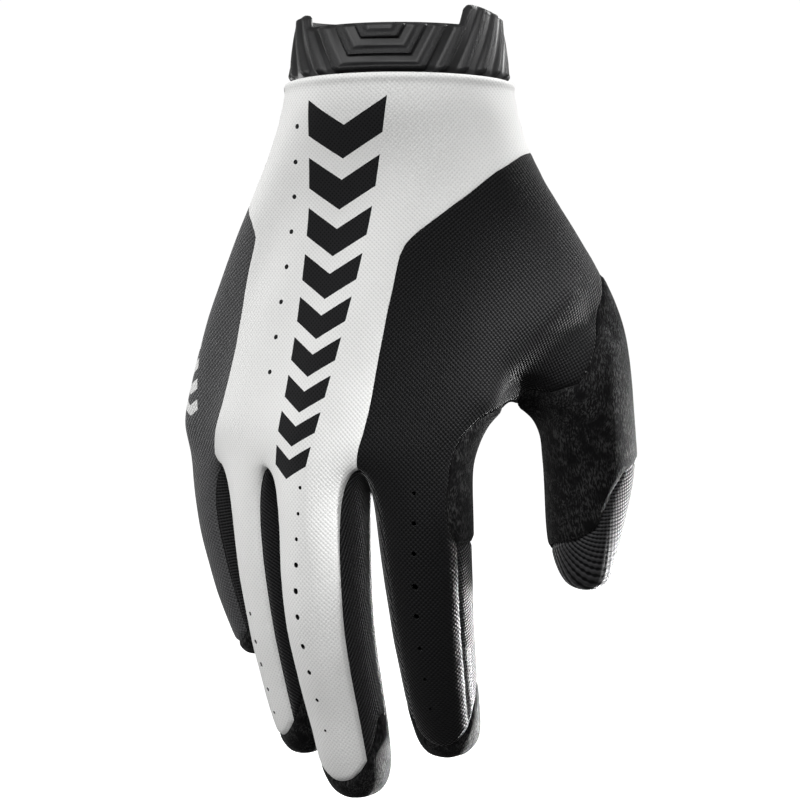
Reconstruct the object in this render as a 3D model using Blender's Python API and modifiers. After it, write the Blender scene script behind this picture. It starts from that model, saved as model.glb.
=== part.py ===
# Motocross glove for the right hand, held in its worn form.
# The back of the hand faces -Y, the fingers point down and the thumb is at +X.
# The origin is the middle of the wrist opening, level with the cuff's top edge on the back.
import math

import bmesh
import bpy
from mathutils import Vector

# Palm and wrist
PALM_LENGTH = 0.1045
PALM_WIDTH = 0.080
PALM_DEPTH = 0.030
WRIST_WIDTH = 0.066
WRIST_DEPTH = 0.049

# Moulded cuff. The flange's lean is how far it draws inward for each metre that it is tucked in.
CUFF_HEIGHT = 0.014
CUFF_BACK_TOP = -0.004
CUFF_TUCK = 0.008
CUFF_FLANGE = 0.0014
CUFF_FLANGE_LEAN = 0.175
CUFF_TAPER = 0.94
CUFF_SEGMENTS = 48

# Thumb
THUMB_LENGTH = 0.076
THUMB_WIDTH = 0.026
THUMB_DEPTH = 0.025

# Walls and gaps
KNIT_WALL = 0.0012
SUEDE_WALL = 0.0014
PANEL_GAP = 0.0003

# Catmull-Clark smoothing draws an eight-sided ring in by this much
OCTAGON_DRAW_IN = (2 * math.cos(math.radians(45)) + 4) / 6
SKIN_LEVEL = 1

# A row for each finger, from the outer side to the thumb side. Across is a share of PALM_WIDTH and
# back a share of PALM_DEPTH. Roll turns the finger's back to the outer side, in degrees.
FINGER_COLUMNS = ("name", "across", "back", "roll", "width", "depth", "length")
FINGERS = (
    ("little", -0.650, 1.38, 76, 0.0205, 0.0205, 0.061),
    ("ring", -0.472, 0.75, 70, 0.0235, 0.0235, 0.0890),
    ("middle", -0.264, 0.10, 35, 0.0265, 0.0250, 0.1010),
    ("index", 0.072, -0.20, 10, 0.0272, 0.0250, 0.0890),
)

# Rings down a finger. Along is a share of its length, width and depth are shares of its own width
# and depth. Curl and lean are the degrees by which it has turned to the palm and to the thumb side.
RING_COLUMNS = ("along", "curl", "lean", "width", "depth")
FINGER_RINGS = {
    "little": (
        (0.17, 3, 1, 0.99, 0.99),
        (0.36, 8, 0, 0.96, 0.96),
        (0.56, 12, 0, 0.90, 0.90),
        (0.76, 15, 0, 0.82, 0.82),
        (0.92, 14, 0, 0.70, 0.70),
        (1.00, 12, 0, 0.40, 0.40),
    ),
    "ring": (
        (0.14, 2, -1, 0.99, 0.99),
        (0.34, 5, -2, 0.97, 0.97),
        (0.54, 9, -3, 0.91, 0.91),
        (0.74, 13, -4, 0.84, 0.84),
        (0.91, 13, -3, 0.76, 0.76),
        (1.00, 12, -3, 0.46, 0.46),
    ),
    "middle": (
        (0.12, 1, -1, 1.00, 1.00),
        (0.30, 2, -1, 1.00, 1.00),
        (0.50, 8, -1, 0.96, 0.96),
        (0.71, 20, 0, 0.86, 0.86),
        (0.90, 18, 0, 0.83, 0.83),
        (1.00, 14, 0, 0.52, 0.52),
    ),
    "index": (
        (0.14, 3, 2, 1.00, 1.00),
        (0.33, 6, 3, 0.95, 0.97),
        (0.53, 12, 3, 0.87, 0.90),
        (0.73, 20, 4, 0.79, 0.84),
        (0.90, 26, 4, 0.74, 0.78),
        (1.00, 28, 4, 0.54, 0.54),
    ),
}

# The wrist keeps its depth to just below the cuff's flange, this many times the flange's length
FLANGE_ROOM = 1.045
FLANGE_END = CUFF_TUCK * FLANGE_ROOM / PALM_LENGTH

# Rings round the hand, from the hem down. Down is a share of PALM_LENGTH, left, right and back are
# shares of PALM_WIDTH. Arch goes from the oval of the wrist, 0, to the row of knuckles, 1.
HAND_COLUMNS = ("down", "left", "right", "arch", "depth", "back")
HAND_RINGS = (
    (0.000, -0.405, 0.400, 0.00, 1.00, 0.000),
    (FLANGE_END, -0.422, 0.418, 0.04, 1.00, 0.000),
    (0.160, -0.452, 0.448, 0.12, 0.94, 0.005),
    (0.290, -0.530, 0.535, 0.30, 0.92, 0.010),
    (0.545, -0.688, 0.455, 0.62, 0.98, 0.010),
    (0.858, -0.806, 0.385, 0.90, 1.00, 0.000),
    (0.930, -0.815, 0.318, 0.97, 1.00, 0.000),
)
THUMB_TOP_RING = 3
THUMB_MIDDLE_RING = 4
THUMB_LOW_RING = 5

# Drop of the web between two fingers, below the knuckle row, as shares of PALM_LENGTH
WEB_DROP_BACK = 0.000
WEB_DROP_MIDDLE = 0.020
WEB_DROP_PALM = 0.030

# Rings down the thumb. Across, down and back are shares of THUMB_LENGTH from the thumb's root, tilt
# is the slope of the ring in degrees, width and depth are shares of the thumb's own.
THUMB_ROOT_ACROSS = 0.551
THUMB_ROOT_DOWN = 0.657
THUMB_ROOT_BACK = 0.13
THUMB_COLUMNS = ("across", "down", "back", "tilt", "width", "depth")
THUMB_RINGS = (
    (0.020, 0.048, 0.00, 52, 1.66, 1.20),
    (0.083, 0.190, 0.07, 34, 1.36, 1.06),
    (0.124, 0.380, 0.12, 12, 1.02, 1.00),
    (0.145, 0.530, 0.15, 5, 1.01, 0.98),
    (0.130, 0.690, 0.17, 3, 0.90, 0.90),
    (0.112, 0.850, 0.18, -4, 0.73, 0.74),
    (0.128, 0.990, 0.19, 0, 0.44, 0.42),
)


def rows(columns, table):
    """The table's rows, each as a dictionary keyed by its column's name."""
    return [dict(zip(columns, row)) for row in table]


class Cage:
    """A coarse cage of the hand, with the fields that say where each point lies on it.

    Column runs from 0 at the outer side to 8 at the index finger. Lift is 1 along the backs of the
    fingers, 0 at their sides and -1 in the palm. Down is 0 at the hem, 1 at the knuckles and 2 at a
    fingertip. Reach counts rings along the thumb, and turn_cos and turn_sin give the way round it.
    """

    def __init__(self):
        self.points = []
        self.fields = []
        self.faces = []

    def add(self, point, column, lift, down, reach=-1.0, turn_cos=0.0, turn_sin=0.0):
        self.points.append(Vector(point))
        self.fields.append([column, lift, down, reach, turn_cos, turn_sin])
        return len(self.points) - 1

    def bridge(self, upper, lower, skip=()):
        """Quads between two rings of the same count."""
        count = len(upper)
        for i in range(count):
            if i in skip:
                continue
            j = (i + 1) % count
            self.faces.append((upper[i], upper[j], lower[j], lower[i]))


HAND_POINTS = 20
LEFT_SIDE = 10
RIGHT_SIDE = 0


def hand_column(i):
    """Column and lift of point i of a ring round the hand, which starts at the thumb side."""
    if i == RIGHT_SIDE:
        return 8.5, 0.0
    if i == LEFT_SIDE:
        return -0.5, 0.0
    if i < LEFT_SIDE:
        column, sign = 9 - i, 1
    else:
        column, sign = i - 11, -1
    return float(column), sign * (0.5 if column in (0, 8) else 1.0)


def wrist_point(i):
    angle = 2 * math.pi * i / HAND_POINTS
    return Vector((WRIST_WIDTH / 2 * math.cos(angle), -WRIST_DEPTH / 2 * math.sin(angle), 0))


def finger_axes(roll):
    """Directions to the thumb side and to the back of a finger that is rolled outward."""
    angle = math.radians(roll)
    side = Vector((math.cos(angle), -math.sin(angle), 0))
    back = Vector((-math.sin(angle), -math.cos(angle), 0))
    return side, back


def octagon(centre, side, back, width, depth):
    """Eight cage points that smooth to an oval, from the side round by the back."""
    ring = []
    for k in range(8):
        angle = math.radians(45 * k)
        reach_side = width / 2 / OCTAGON_DRAW_IN * math.cos(angle)
        reach_back = depth / 2 / OCTAGON_DRAW_IN * math.sin(angle)
        ring.append(centre + reach_side * side + reach_back * back)
    return ring


HEM_Z = CUFF_BACK_TOP - CUFF_HEIGHT
KNUCKLE_Z = HEM_Z - PALM_LENGTH


def finger_base(finger):
    return Vector((finger["across"] * PALM_WIDTH, finger["back"] * PALM_DEPTH, KNUCKLE_Z))


def knuckle_points():
    """The twenty points of the knuckle row and the three webs between the fingers."""
    ovals = []
    for finger in rows(FINGER_COLUMNS, FINGERS):
        side, back = finger_axes(finger["roll"])
        ovals.append(octagon(finger_base(finger), side, back, finger["width"], finger["depth"]))
    ring = [None] * HAND_POINTS
    for k, oval in enumerate(ovals):
        ring[9 - (2 * k + 1)] = oval[2]
        ring[11 + 2 * k + 1] = oval[6]
    ring[9], ring[LEFT_SIDE], ring[11] = ovals[0][3], ovals[0][4], ovals[0][5]
    ring[1], ring[RIGHT_SIDE], ring[19] = ovals[3][1], ovals[3][0], ovals[3][7]
    webs = []
    for k in range(3):
        near, far = ovals[k], ovals[k + 1]
        column = 2 * k + 2
        ring[9 - column] = (near[1] + far[3]) / 2 - Vector((0, 0, WEB_DROP_BACK * PALM_LENGTH))
        ring[11 + column] = (near[7] + far[5]) / 2 - Vector((0, 0, WEB_DROP_PALM * PALM_LENGTH))
        webs.append((near[0] + far[4]) / 2 - Vector((0, 0, WEB_DROP_MIDDLE * PALM_LENGTH)))
    return ring, webs


def add_hand(cage):
    """Rings from the hem to the knuckles, with a hole in the side for the thumb."""
    knuckles, webs = knuckle_points()
    rings = []
    for number, row in enumerate(rows(HAND_COLUMNS, HAND_RINGS)):
        blended = [wrist_point(i).lerp(knuckles[i], row["arch"]) for i in range(HAND_POINTS)]
        low = min(point.x for point in blended)
        high = max(point.x for point in blended)
        left, right = row["left"] * PALM_WIDTH, row["right"] * PALM_WIDTH
        ring = []
        for i, point in enumerate(blended):
            if number == THUMB_MIDDLE_RING and i == RIGHT_SIDE:
                ring.append(None)
                continue
            x = left + (right - left) * (point.x - low) / (high - low)
            y = point.y * row["depth"] + row["back"] * PALM_WIDTH
            z = HEM_Z - row["down"] * PALM_LENGTH
            column, lift = hand_column(i)
            ring.append(cage.add((x, y, z), column, lift, row["down"]))
        rings.append(ring)
    ring = []
    for i, point in enumerate(knuckles):
        column, lift = hand_column(i)
        if column in (2.0, 4.0, 6.0):
            lift *= 0.5
        ring.append(cage.add(point, column, lift, 1.0))
    rings.append(ring)
    for number in range(len(rings) - 1):
        through_thumb = number in (THUMB_TOP_RING, THUMB_MIDDLE_RING)
        cage.bridge(rings[number], rings[number + 1], skip=(0, 19) if through_thumb else ())
    web_points = [cage.add(point, 2.0 * k + 2, 0.0, 1.0) for k, point in enumerate(webs)]
    return rings, web_points


def add_finger(cage, number, finger, knuckles, webs):
    """One finger, from its share of the knuckle row to a closed tip."""
    side, back = finger_axes(finger["roll"])
    left_web = knuckles[LEFT_SIDE] if number == 0 else webs[number - 1]
    right_web = knuckles[RIGHT_SIDE] if number == 3 else webs[number]
    first = 2 * number
    ring = [right_web, knuckles[9 - first - 2], knuckles[9 - first - 1], knuckles[9 - first], left_web,
            knuckles[11 + first], knuckles[11 + first + 1], knuckles[11 + first + 2]]
    columns = (first + 2, first + 2, first + 1, first, first, first, first + 1, first + 2)
    lifts = (0.0, 0.5, 1.0, 0.5, 0.0, -0.5, -1.0, -0.5)
    centre = finger_base(finger)
    done = 0.0
    for row in rows(RING_COLUMNS, FINGER_RINGS[finger["name"]]):
        curl, lean = math.radians(row["curl"]), math.radians(row["lean"])
        heading = Vector((0, 0, -1)) * math.cos(curl) - back * math.sin(curl) + side * math.sin(lean)
        heading.normalize()
        centre = centre + heading * (row["along"] - done) * finger["length"]
        done = row["along"]
        ring_side = (side - heading * side.dot(heading)).normalized()
        ring_back = ring_side.cross(heading)
        if ring_back.dot(back) < 0:
            ring_back = -ring_back
        oval = octagon(centre, ring_side, ring_back,
                       finger["width"] * row["width"], finger["depth"] * row["depth"])
        lower = [cage.add(point, columns[k], lifts[k], 1.0 + row["along"]) for k, point in enumerate(oval)]
        cage.bridge(ring, lower)
        ring = lower
    cage.faces.append(tuple(ring))


def add_thumb(cage, rings):
    """The thumb, from the hole in the side of the hand to a closed tip."""
    top, middle, low = rings[THUMB_TOP_RING], rings[THUMB_MIDDLE_RING], rings[THUMB_LOW_RING]
    ring = [top[0], top[1], middle[1], low[1], low[0], low[19], middle[19], top[19]]
    for k, point in enumerate(ring):
        angle = math.radians(45 * k)
        cage.fields[point][3:] = [0.0, math.cos(angle), math.sin(angle)]
    root = Vector((THUMB_ROOT_ACROSS * PALM_WIDTH, THUMB_ROOT_BACK * PALM_DEPTH,
                   HEM_Z - THUMB_ROOT_DOWN * PALM_LENGTH))
    for number, row in enumerate(rows(THUMB_COLUMNS, THUMB_RINGS)):
        tilt = math.radians(row["tilt"])
        offset = Vector((row["across"], row["back"], -row["down"])) * THUMB_LENGTH
        side = Vector((math.cos(tilt), 0, math.sin(tilt)))
        oval = octagon(root + offset, side, Vector((0, -1, 0)),
                       THUMB_WIDTH * row["width"], THUMB_DEPTH * row["depth"])
        lower = []
        for k, point in enumerate(oval):
            angle = math.radians(45 * k)
            lower.append(cage.add(point, 8.5, math.sin(angle), 0.6, number + 1.0,
                                  math.cos(angle), math.sin(angle)))
        cage.bridge(ring, lower)
        ring = lower
    cage.faces.append(tuple(ring))


def build_cage():
    cage = Cage()
    rings, webs = add_hand(cage)
    for number, finger in enumerate(rows(FINGER_COLUMNS, FINGERS)):
        add_finger(cage, number, finger, rings[-1], webs)
    add_thumb(cage, rings)
    return cage


def smoothed(points, faces, level):
    """The cage's points after Subdivision Surface, with the mesh they belong to."""
    mesh = bpy.data.meshes.new("cage")
    mesh.from_pydata([tuple(point) for point in points], [], faces)
    guide = bpy.data.objects.new("cage", mesh)
    bpy.context.scene.collection.objects.link(guide)
    smoothing = guide.modifiers.new("smooth", "SUBSURF")
    smoothing.levels = level
    smoothing.render_levels = level
    depsgraph = bpy.context.evaluated_depsgraph_get()
    result = bpy.data.meshes.new_from_object(guide.evaluated_get(depsgraph))
    bpy.data.objects.remove(guide)
    return result


# Seams. Each table gives the edge of a panel, read down the hand or round the thumb.
# The white back meets the black panels along these columns.
BACK_SEAM_COLUMNS = ("down", "column")
OUTER_SEAM = (
    (0.29, -0.60), (0.33, 0.35), (0.36, 0.95), (0.40, 1.42), (0.43, 1.54), (0.50, 1.72), (0.60, 2.02),
    (0.70, 2.26), (0.80, 2.36), (0.86, 2.40), (0.90, 2.36), (0.95, 2.20), (1.00, 2.00), (2.00, 2.00),
)
INNER_SEAM = (
    (0.18, 8.60), (0.20, 7.75), (0.22, 7.30), (0.25, 6.72), (0.28, 6.40), (0.34, 5.90), (0.38, 5.64),
    (0.41, 5.45), (0.44, 5.36), (0.47, 5.37), (0.55, 5.52), (0.68, 5.69), (0.78, 5.80), (0.86, 5.90),
    (0.94, 6.00), (2.00, 6.00),
)
# Lift of the seam between the back and the palm on each edge of the hand, and of the far side of the
# strip that lies between them along the index finger.
EDGE_COLUMNS = ("down", "lift")
OUTER_EDGE = ((0.0, 0.10), (0.26, 0.10), (0.34, -0.25), (2.0, -0.25))
INDEX_EDGE = (
    (0.0, 0.00), (0.83, 0.00), (0.864, 0.23), (0.90, 0.41), (0.94, 0.50), (1.06, 0.52), (1.14, 0.58),
    (1.22, 0.54), (1.26, 0.42), (1.44, 0.41), (2.0, 0.42),
)
INDEX_FAR_EDGE = ((0.0, 0.00), (0.83, 0.00), (0.90, -0.45), (2.0, -0.45))
GUSSET_LIFT = 0.40
# Where the little finger's outer side ends and the index finger's thumb side starts, and how many
# columns the edge takes there to turn into that of the gussets
OUTER_SIDE_END = 0.75
INDEX_SIDE_START = 6.75
SIDE_BLEND = 0.5
PATCH_END = 1.265
TIP_SEAM = 1.92
# Reach of the thumb's two seams by the way round it, 0 outside and 90 at the back, in degrees
TURN_COLUMNS = ("turn", "reach")
THUMB_SEAM = ((0, 0.95), (45, 1.56), (75, 1.92), (90, 2.06), (125, 1.88), (155, 1.40), (180, 1.15),
              (270, 0.85), (360, 0.95))
THUMB_TIP_SEAM = ((0, 3.80), (45, 4.00), (62, 4.40), (78, 5.30), (110, 5.60), (170, 5.75), (270, 6.30),
                  (335, 4.30), (360, 3.80))

# Height of the cuff's top edge by the way round it, as shares of CUFF_HEIGHT above its back edge
CUFF_TOP_COLUMNS = ("turn", "rise")
CUFF_TOP = ((0, 0.30), (22, 0.36), (42, 0.42), (48, 0.34), (53, 0.00), (150, 0.00), (155, 0.24),
            (162, 0.30), (180, 0.30), (270, 0.45), (345, 0.32), (360, 0.30))


def read(table, at):
    """The second column's value at a place in the first, straight between rows."""
    if at <= table[0][0]:
        return table[0][1]
    for (start, before), (end, after) in zip(table, table[1:]):
        if at <= end:
            return before + (after - before) * (at - start) / (end - start)
    return table[-1][1]


def mix(a, b, share):
    share = min(max(share, 0.0), 1.0)
    return a + (b - a) * share


class Place:
    """The fields of one point of the skin, by name."""

    def __init__(self, fields):
        self.column, self.lift, self.down, self.reach, turn_cos, turn_sin = fields
        self.turn = math.degrees(math.atan2(turn_sin, turn_cos)) % 360

    def back_edge(self):
        outer = read(OUTER_EDGE, self.down)
        index = read(INDEX_EDGE, self.down)
        if self.column < 4:
            return self.lift - mix(outer, GUSSET_LIFT, (self.column - OUTER_SIDE_END) / SIDE_BLEND)
        return self.lift - mix(GUSSET_LIFT, index, (self.column - INDEX_SIDE_START) / SIDE_BLEND)

    def palm_edge(self):
        outer = read(OUTER_EDGE, self.down)
        index = read(INDEX_FAR_EDGE, self.down)
        if self.column < 4:
            return self.lift - mix(outer, -GUSSET_LIFT, (self.column - OUTER_SIDE_END) / SIDE_BLEND)
        return self.lift - mix(-GUSSET_LIFT, index, (self.column - INDEX_SIDE_START) / SIDE_BLEND)

    def outer_seam(self):
        return self.column - read(OUTER_SEAM, self.down)

    def inner_seam(self):
        return self.column - read(INNER_SEAM, self.down)

    def tip_seam(self):
        return self.down - TIP_SEAM

    def patch_end(self):
        return self.down - PATCH_END

    def thumb_seam(self):
        return self.reach - read(THUMB_SEAM, self.turn)

    def thumb_tip_seam(self):
        return self.reach - read(THUMB_TIP_SEAM, self.turn)

    def panel(self):
        """The panel that covers this place."""
        if self.thumb_tip_seam() > 0:
            return "thumb_tip"
        if self.thumb_seam() > 0:
            return "thumb_panel"
        if self.tip_seam() > 0:
            return "palm_panel"
        if self.back_edge() > 0:
            if self.outer_seam() < 0:
                return "outer_panel"
            return "back_panel" if self.inner_seam() < 0 else "index_panel"
        if self.palm_edge() > 0 and self.column > 1:
            if self.column > 7:
                return "index_patch" if self.patch_end() < 0 else "index_side_strip"
            if self.column < 3:
                return "gusset_little_ring"
            return "gusset_ring_middle" if self.column < 5 else "gusset_middle_index"
        return "palm_panel"


def skin_mesh(cage, level):
    """The whole smooth skin as a bmesh, and its layers for the fields and the inward normals."""
    surface = smoothed(cage.points, cage.faces, level)
    first = smoothed([fields[:3] for fields in cage.fields], cage.faces, level)
    second = smoothed([fields[3:] for fields in cage.fields], cage.faces, level)
    bm = bmesh.new()
    bm.from_mesh(surface)
    bmesh.ops.recalc_face_normals(bm, faces=bm.faces)
    bm.normal_update()
    layers = {
        "first": bm.verts.layers.float_vector.new("first"),
        "second": bm.verts.layers.float_vector.new("second"),
        "outward": bm.verts.layers.float_vector.new("outward"),
    }
    for vertex, near, far in zip(bm.verts, first.vertices, second.vertices):
        vertex[layers["first"]] = near.co
        vertex[layers["second"]] = far.co
        vertex[layers["outward"]] = vertex.normal
    for mesh in (surface, first, second):
        bpy.data.meshes.remove(mesh)
    return bm, layers


def place_of(vertex, layers):
    return Place([*vertex[layers["first"]], *vertex[layers["second"]]])


def face_place(face, layers):
    count = len(face.verts)
    total = [0.0] * 6
    for vertex in face.verts:
        for k, value in enumerate([*vertex[layers["first"]], *vertex[layers["second"]]]):
            total[k] += value / count
    return Place(total)


# A point this near to a seam, as a share of its edge, slides onto it. One that another seam already
# uses moves only from the second, smaller share.
SLIDE = 0.48
SNAP = 0.06


def crossing(edge, values):
    """How far along an edge its measure crosses zero, or None."""
    near, far = edge.verts
    a, b = values[near], values[far]
    return a / (a - b) if a * b < 0 else None


def blend_layers(near, far, share, layers):
    return [near[layer].lerp(far[layer], share) for layer in layers.values()]


def slide_to_seam(edges, values, layers, seams):
    """Slides points that lie near the zero line onto it, the nearest first."""
    offers = []
    for edge in edges:
        share = crossing(edge, values)
        if share is not None:
            near, far = edge.verts
            offers.append((share, near.index, near, far))
            offers.append((1 - share, far.index, far, near))
    for share, _, point, other in sorted(offers, key=lambda offer: offer[:2]):
        if values[point] * values[other] >= 0:
            continue
        if point in seams or point.is_boundary:
            if share < SNAP:
                values[point] = 0.0
        elif share < SLIDE:
            for layer, value in zip(layers.values(), blend_layers(point, other, share, layers)):
                point[layer] = value
            point.co = point.co.lerp(other.co, share)
            values[point] = 0.0


def cut_along(bm, layers, seams, measure, keep):
    """Cuts the faces that keep accepts where the measure crosses zero."""
    bm.verts.index_update()
    faces = [face for face in bm.faces if keep(face_place(face, layers))]
    values = {vertex: measure(place_of(vertex, layers)) for face in faces for vertex in face.verts}
    edges = sorted({edge for face in faces for edge in face.edges}, key=lambda edge: edge.index)
    slide_to_seam(edges, values, layers, seams)
    for edge in edges:
        share = crossing(edge, values)
        if share is not None:
            near, far = edge.verts
            fields = blend_layers(near, far, share, layers)
            _, middle = bmesh.utils.edge_split(edge, near, share)
            for layer, value in zip(layers.values(), fields):
                middle[layer] = value
            values[middle] = 0.0
    for face in faces:
        ends = [vertex for vertex in face.verts if values.get(vertex) == 0.0]
        if len(ends) == 2 and not any(set(edge.verts) == set(ends) for edge in face.edges):
            bmesh.utils.face_split(face, ends[0], ends[1])
    seams.update(vertex for vertex, value in values.items() if value == 0.0)
    bmesh.ops.triangulate(bm, faces=[face for face in bm.faces if len(face.verts) > 3])
    bm.edges.index_update()


# The seams run from this reach on the thumb, from this reach on its tip, from this way down a finger
# and as far as this way down the hand
THUMB_STARTS = -0.9
THUMB_TIP_STARTS = 2.5
FINGER_END_STARTS = 1.7
HAND_ENDS = 1.1


def cut_skin(bm, layers):
    """All the seams, each on the part of the skin where it runs."""
    bmesh.ops.triangulate(bm, faces=bm.faces)
    seams = set()
    cut_along(bm, layers, seams, Place.thumb_seam, lambda place: place.reach > THUMB_STARTS)
    cut_along(bm, layers, seams, Place.thumb_tip_seam, lambda place: place.reach > THUMB_TIP_STARTS)
    cut_along(bm, layers, seams, Place.tip_seam, lambda place: place.down > FINGER_END_STARTS)
    cut_along(bm, layers, seams, Place.back_edge,
              lambda place: place.thumb_seam() < 0 and place.tip_seam() < 0)
    cut_along(bm, layers, seams, Place.palm_edge,
              lambda place: place.thumb_seam() < 0 and place.tip_seam() < 0 and place.back_edge() < 0)
    cut_along(bm, layers, seams, Place.outer_seam,
              lambda place: place.back_edge() > 0 and place.column < 5 and place.down < HAND_ENDS)
    cut_along(bm, layers, seams, Place.inner_seam,
              lambda place: place.back_edge() > 0 and place.column > 3 and place.down < HAND_ENDS
              and place.thumb_seam() < 0)
    cut_along(bm, layers, seams, Place.patch_end,
              lambda place: place.back_edge() < 0 < place.palm_edge() and place.column > 7)


PANEL_WALLS = {
    "back_panel": KNIT_WALL,
    "index_panel": KNIT_WALL,
    "outer_panel": KNIT_WALL,
    "gusset_little_ring": KNIT_WALL,
    "gusset_ring_middle": KNIT_WALL,
    "gusset_middle_index": KNIT_WALL,
    "index_side_strip": KNIT_WALL,
    "index_patch": SUEDE_WALL,
    "palm_panel": SUEDE_WALL,
    "thumb_panel": SUEDE_WALL,
    "thumb_tip": KNIT_WALL,
}


def islands(faces):
    """Groups of faces that meet edge to edge, the largest first."""
    left = set(faces)
    groups = []
    while left:
        group = [left.pop()]
        for face in group:
            for edge in face.edges:
                for other in edge.link_faces:
                    if other in left:
                        left.remove(other)
                        group.append(other)
        groups.append(group)
    return sorted(groups, key=len, reverse=True)


def share_out(skin, layers):
    """The face numbers of each panel. A scrap cut off by a seam goes to the panel beside it."""
    owner = {face: face_place(face, layers).panel() for face in skin.faces}
    for name in PANEL_WALLS:
        for scrap in islands([face for face in skin.faces if owner[face] == name])[1:]:
            beside = {}
            for face in scrap:
                for edge in face.edges:
                    for other in edge.link_faces:
                        if owner[other] != name:
                            beside[owner[other]] = beside.get(owner[other], 0.0) + edge.calc_length()
            for face in scrap:
                owner[face] = max(sorted(beside), key=beside.get)
    skin.faces.index_update()
    shares = {name: [] for name in PANEL_WALLS}
    for face, name in owner.items():
        shares[name].append(face.index)
    return shares


# Where a panel's edges turn back on themselves more sharply than this share, the corner stays put
SHARPEST_CORNER = 0.3


def draw_back_seams(bm):
    """Moves each panel's edge inward along the skin by half the gap between panels."""
    moves = {}
    for edge in bm.edges:
        if not edge.is_boundary:
            continue
        face = edge.link_faces[0]
        a, b = edge.verts
        if abs(a.co.z - HEM_Z) < PANEL_GAP / 10 and abs(b.co.z - HEM_Z) < PANEL_GAP / 10:
            continue
        inward = face.normal.cross(b.co - a.co).normalized()
        if inward.dot(face.calc_center_median() - a.co) < 0:
            inward = -inward
        for vertex in (a, b):
            moves.setdefault(vertex, []).append(inward)
    for vertex, inwards in moves.items():
        total = sum(inwards, Vector()) / len(inwards)
        if total.length > SHARPEST_CORNER:
            vertex.co += total.normalized() * PANEL_GAP / 2 / total.length


def make_panel(name, skin, layers, panel_faces):
    """One panel: its share of the skin, drawn back at the seams and given its wall."""
    bm = skin.copy()
    bm.faces.ensure_lookup_table()
    bm.normal_update()
    wanted = set(panel_faces)
    bmesh.ops.delete(bm, geom=[face for face in bm.faces if face.index not in wanted], context="FACES")
    outward = bm.verts.layers.float_vector["outward"]
    draw_back_seams(bm)
    inner = bmesh.ops.extrude_face_region(bm, geom=bm.faces[:], use_keep_orig=True)["geom"]
    for item in inner:
        if isinstance(item, bmesh.types.BMVert):
            item.co -= item[outward].normalized() * PANEL_WALLS[name]
    bmesh.ops.triangulate(bm, faces=bm.faces)
    bmesh.ops.recalc_face_normals(bm, faces=bm.faces)
    mesh = bpy.data.meshes.new(name)
    bm.to_mesh(mesh)
    bm.free()
    return mesh


def draw_in(count):
    """Share of its size that an even ring of this many cage points keeps when it is smoothed."""
    return (2 * math.cos(2 * math.pi / count) + 4) / 6


def cuff_mesh():
    """The moulded ring: a body above the hem and a thin flange tucked inside the knit."""
    first = dict(zip(HAND_COLUMNS, HAND_RINGS[0]))
    half_width = (first["right"] - first["left"]) * PALM_WIDTH / 2 * draw_in(HAND_POINTS)
    half_depth = WRIST_DEPTH / 2 * draw_in(HAND_POINTS)
    middle = (first["right"] + first["left"]) * PALM_WIDTH / 2
    tuck = SUEDE_WALL + PANEL_GAP * 1.5
    inner = tuck + CUFF_FLANGE
    draw = CUFF_TUCK * CUFF_FLANGE_LEAN
    shoulder = HEM_Z + PANEL_GAP
    bm = bmesh.new()
    rings = []
    for k in range(CUFF_SEGMENTS):
        turn = 360 * k / CUFF_SEGMENTS
        angle = math.radians(turn)
        top = CUFF_BACK_TOP + read(CUFF_TOP, turn) * CUFF_HEIGHT
        ring = []
        for inset, z in ((0.0, top), (0.0, shoulder), (tuck, shoulder),
                         (tuck + draw, HEM_Z - CUFF_TUCK), (inner + draw, HEM_Z - CUFF_TUCK),
                         (inner, shoulder), (inner, top)):
            taper = mix(1.0, CUFF_TAPER, (z - shoulder) / CUFF_HEIGHT)
            x = middle + (half_width * taper - inset) * math.cos(angle)
            y = -(half_depth * taper - inset) * math.sin(angle)
            ring.append(bm.verts.new((x, y, z)))
        rings.append(ring)
    for ring, after in zip(rings, rings[1:] + rings[:1]):
        for k in range(len(ring)):
            bm.faces.new((ring[k], ring[k - 1], after[k - 1], after[k]))
    bmesh.ops.recalc_face_normals(bm, faces=bm.faces)
    mesh = bpy.data.meshes.new("wrist_cuff")
    bm.to_mesh(mesh)
    bm.free()
    return mesh


# Edges that turn by more than this many degrees are shaded sharp
SHARP_ANGLE = 40
# Colour and roughness of each finish
FINISHES = {
    "white_knit": ((0.80, 0.80, 0.79), 0.85),
    "black_knit": ((0.014, 0.014, 0.015), 0.80),
    "black_suede": ((0.022, 0.022, 0.023), 0.90),
    "grey_knit": ((0.05, 0.05, 0.052), 0.80),
    "cuff_rubber": ((0.016, 0.016, 0.017), 0.50),
}
PANEL_FINISHES = {
    "wrist_cuff": "cuff_rubber",
    "back_panel": "white_knit",
    "index_panel": "black_knit",
    "outer_panel": "black_knit",
    "gusset_little_ring": "grey_knit",
    "gusset_ring_middle": "grey_knit",
    "gusset_middle_index": "grey_knit",
    "index_side_strip": "grey_knit",
    "index_patch": "black_suede",
    "palm_panel": "black_suede",
    "thumb_panel": "black_suede",
    "thumb_tip": "grey_knit",
}


def finish(name, node):
    colour, roughness = FINISHES[name]
    material = bpy.data.materials.new(node + "_" + name)
    material.use_nodes = True
    shader = material.node_tree.nodes["Principled BSDF"]
    shader.inputs["Base Color"].default_value = (*colour, 1)
    shader.inputs["Roughness"].default_value = roughness
    shader.inputs["Metallic"].default_value = 0.0
    return material


def add_piece(collection, name, mesh):
    piece = bpy.data.objects.new(name, mesh)
    piece.data.materials.append(finish(PANEL_FINISHES[name], name))
    piece.data.shade_smooth()
    piece.data.set_sharp_from_angle(angle=math.radians(SHARP_ANGLE))
    collection.objects.link(piece)
    return piece


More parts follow.
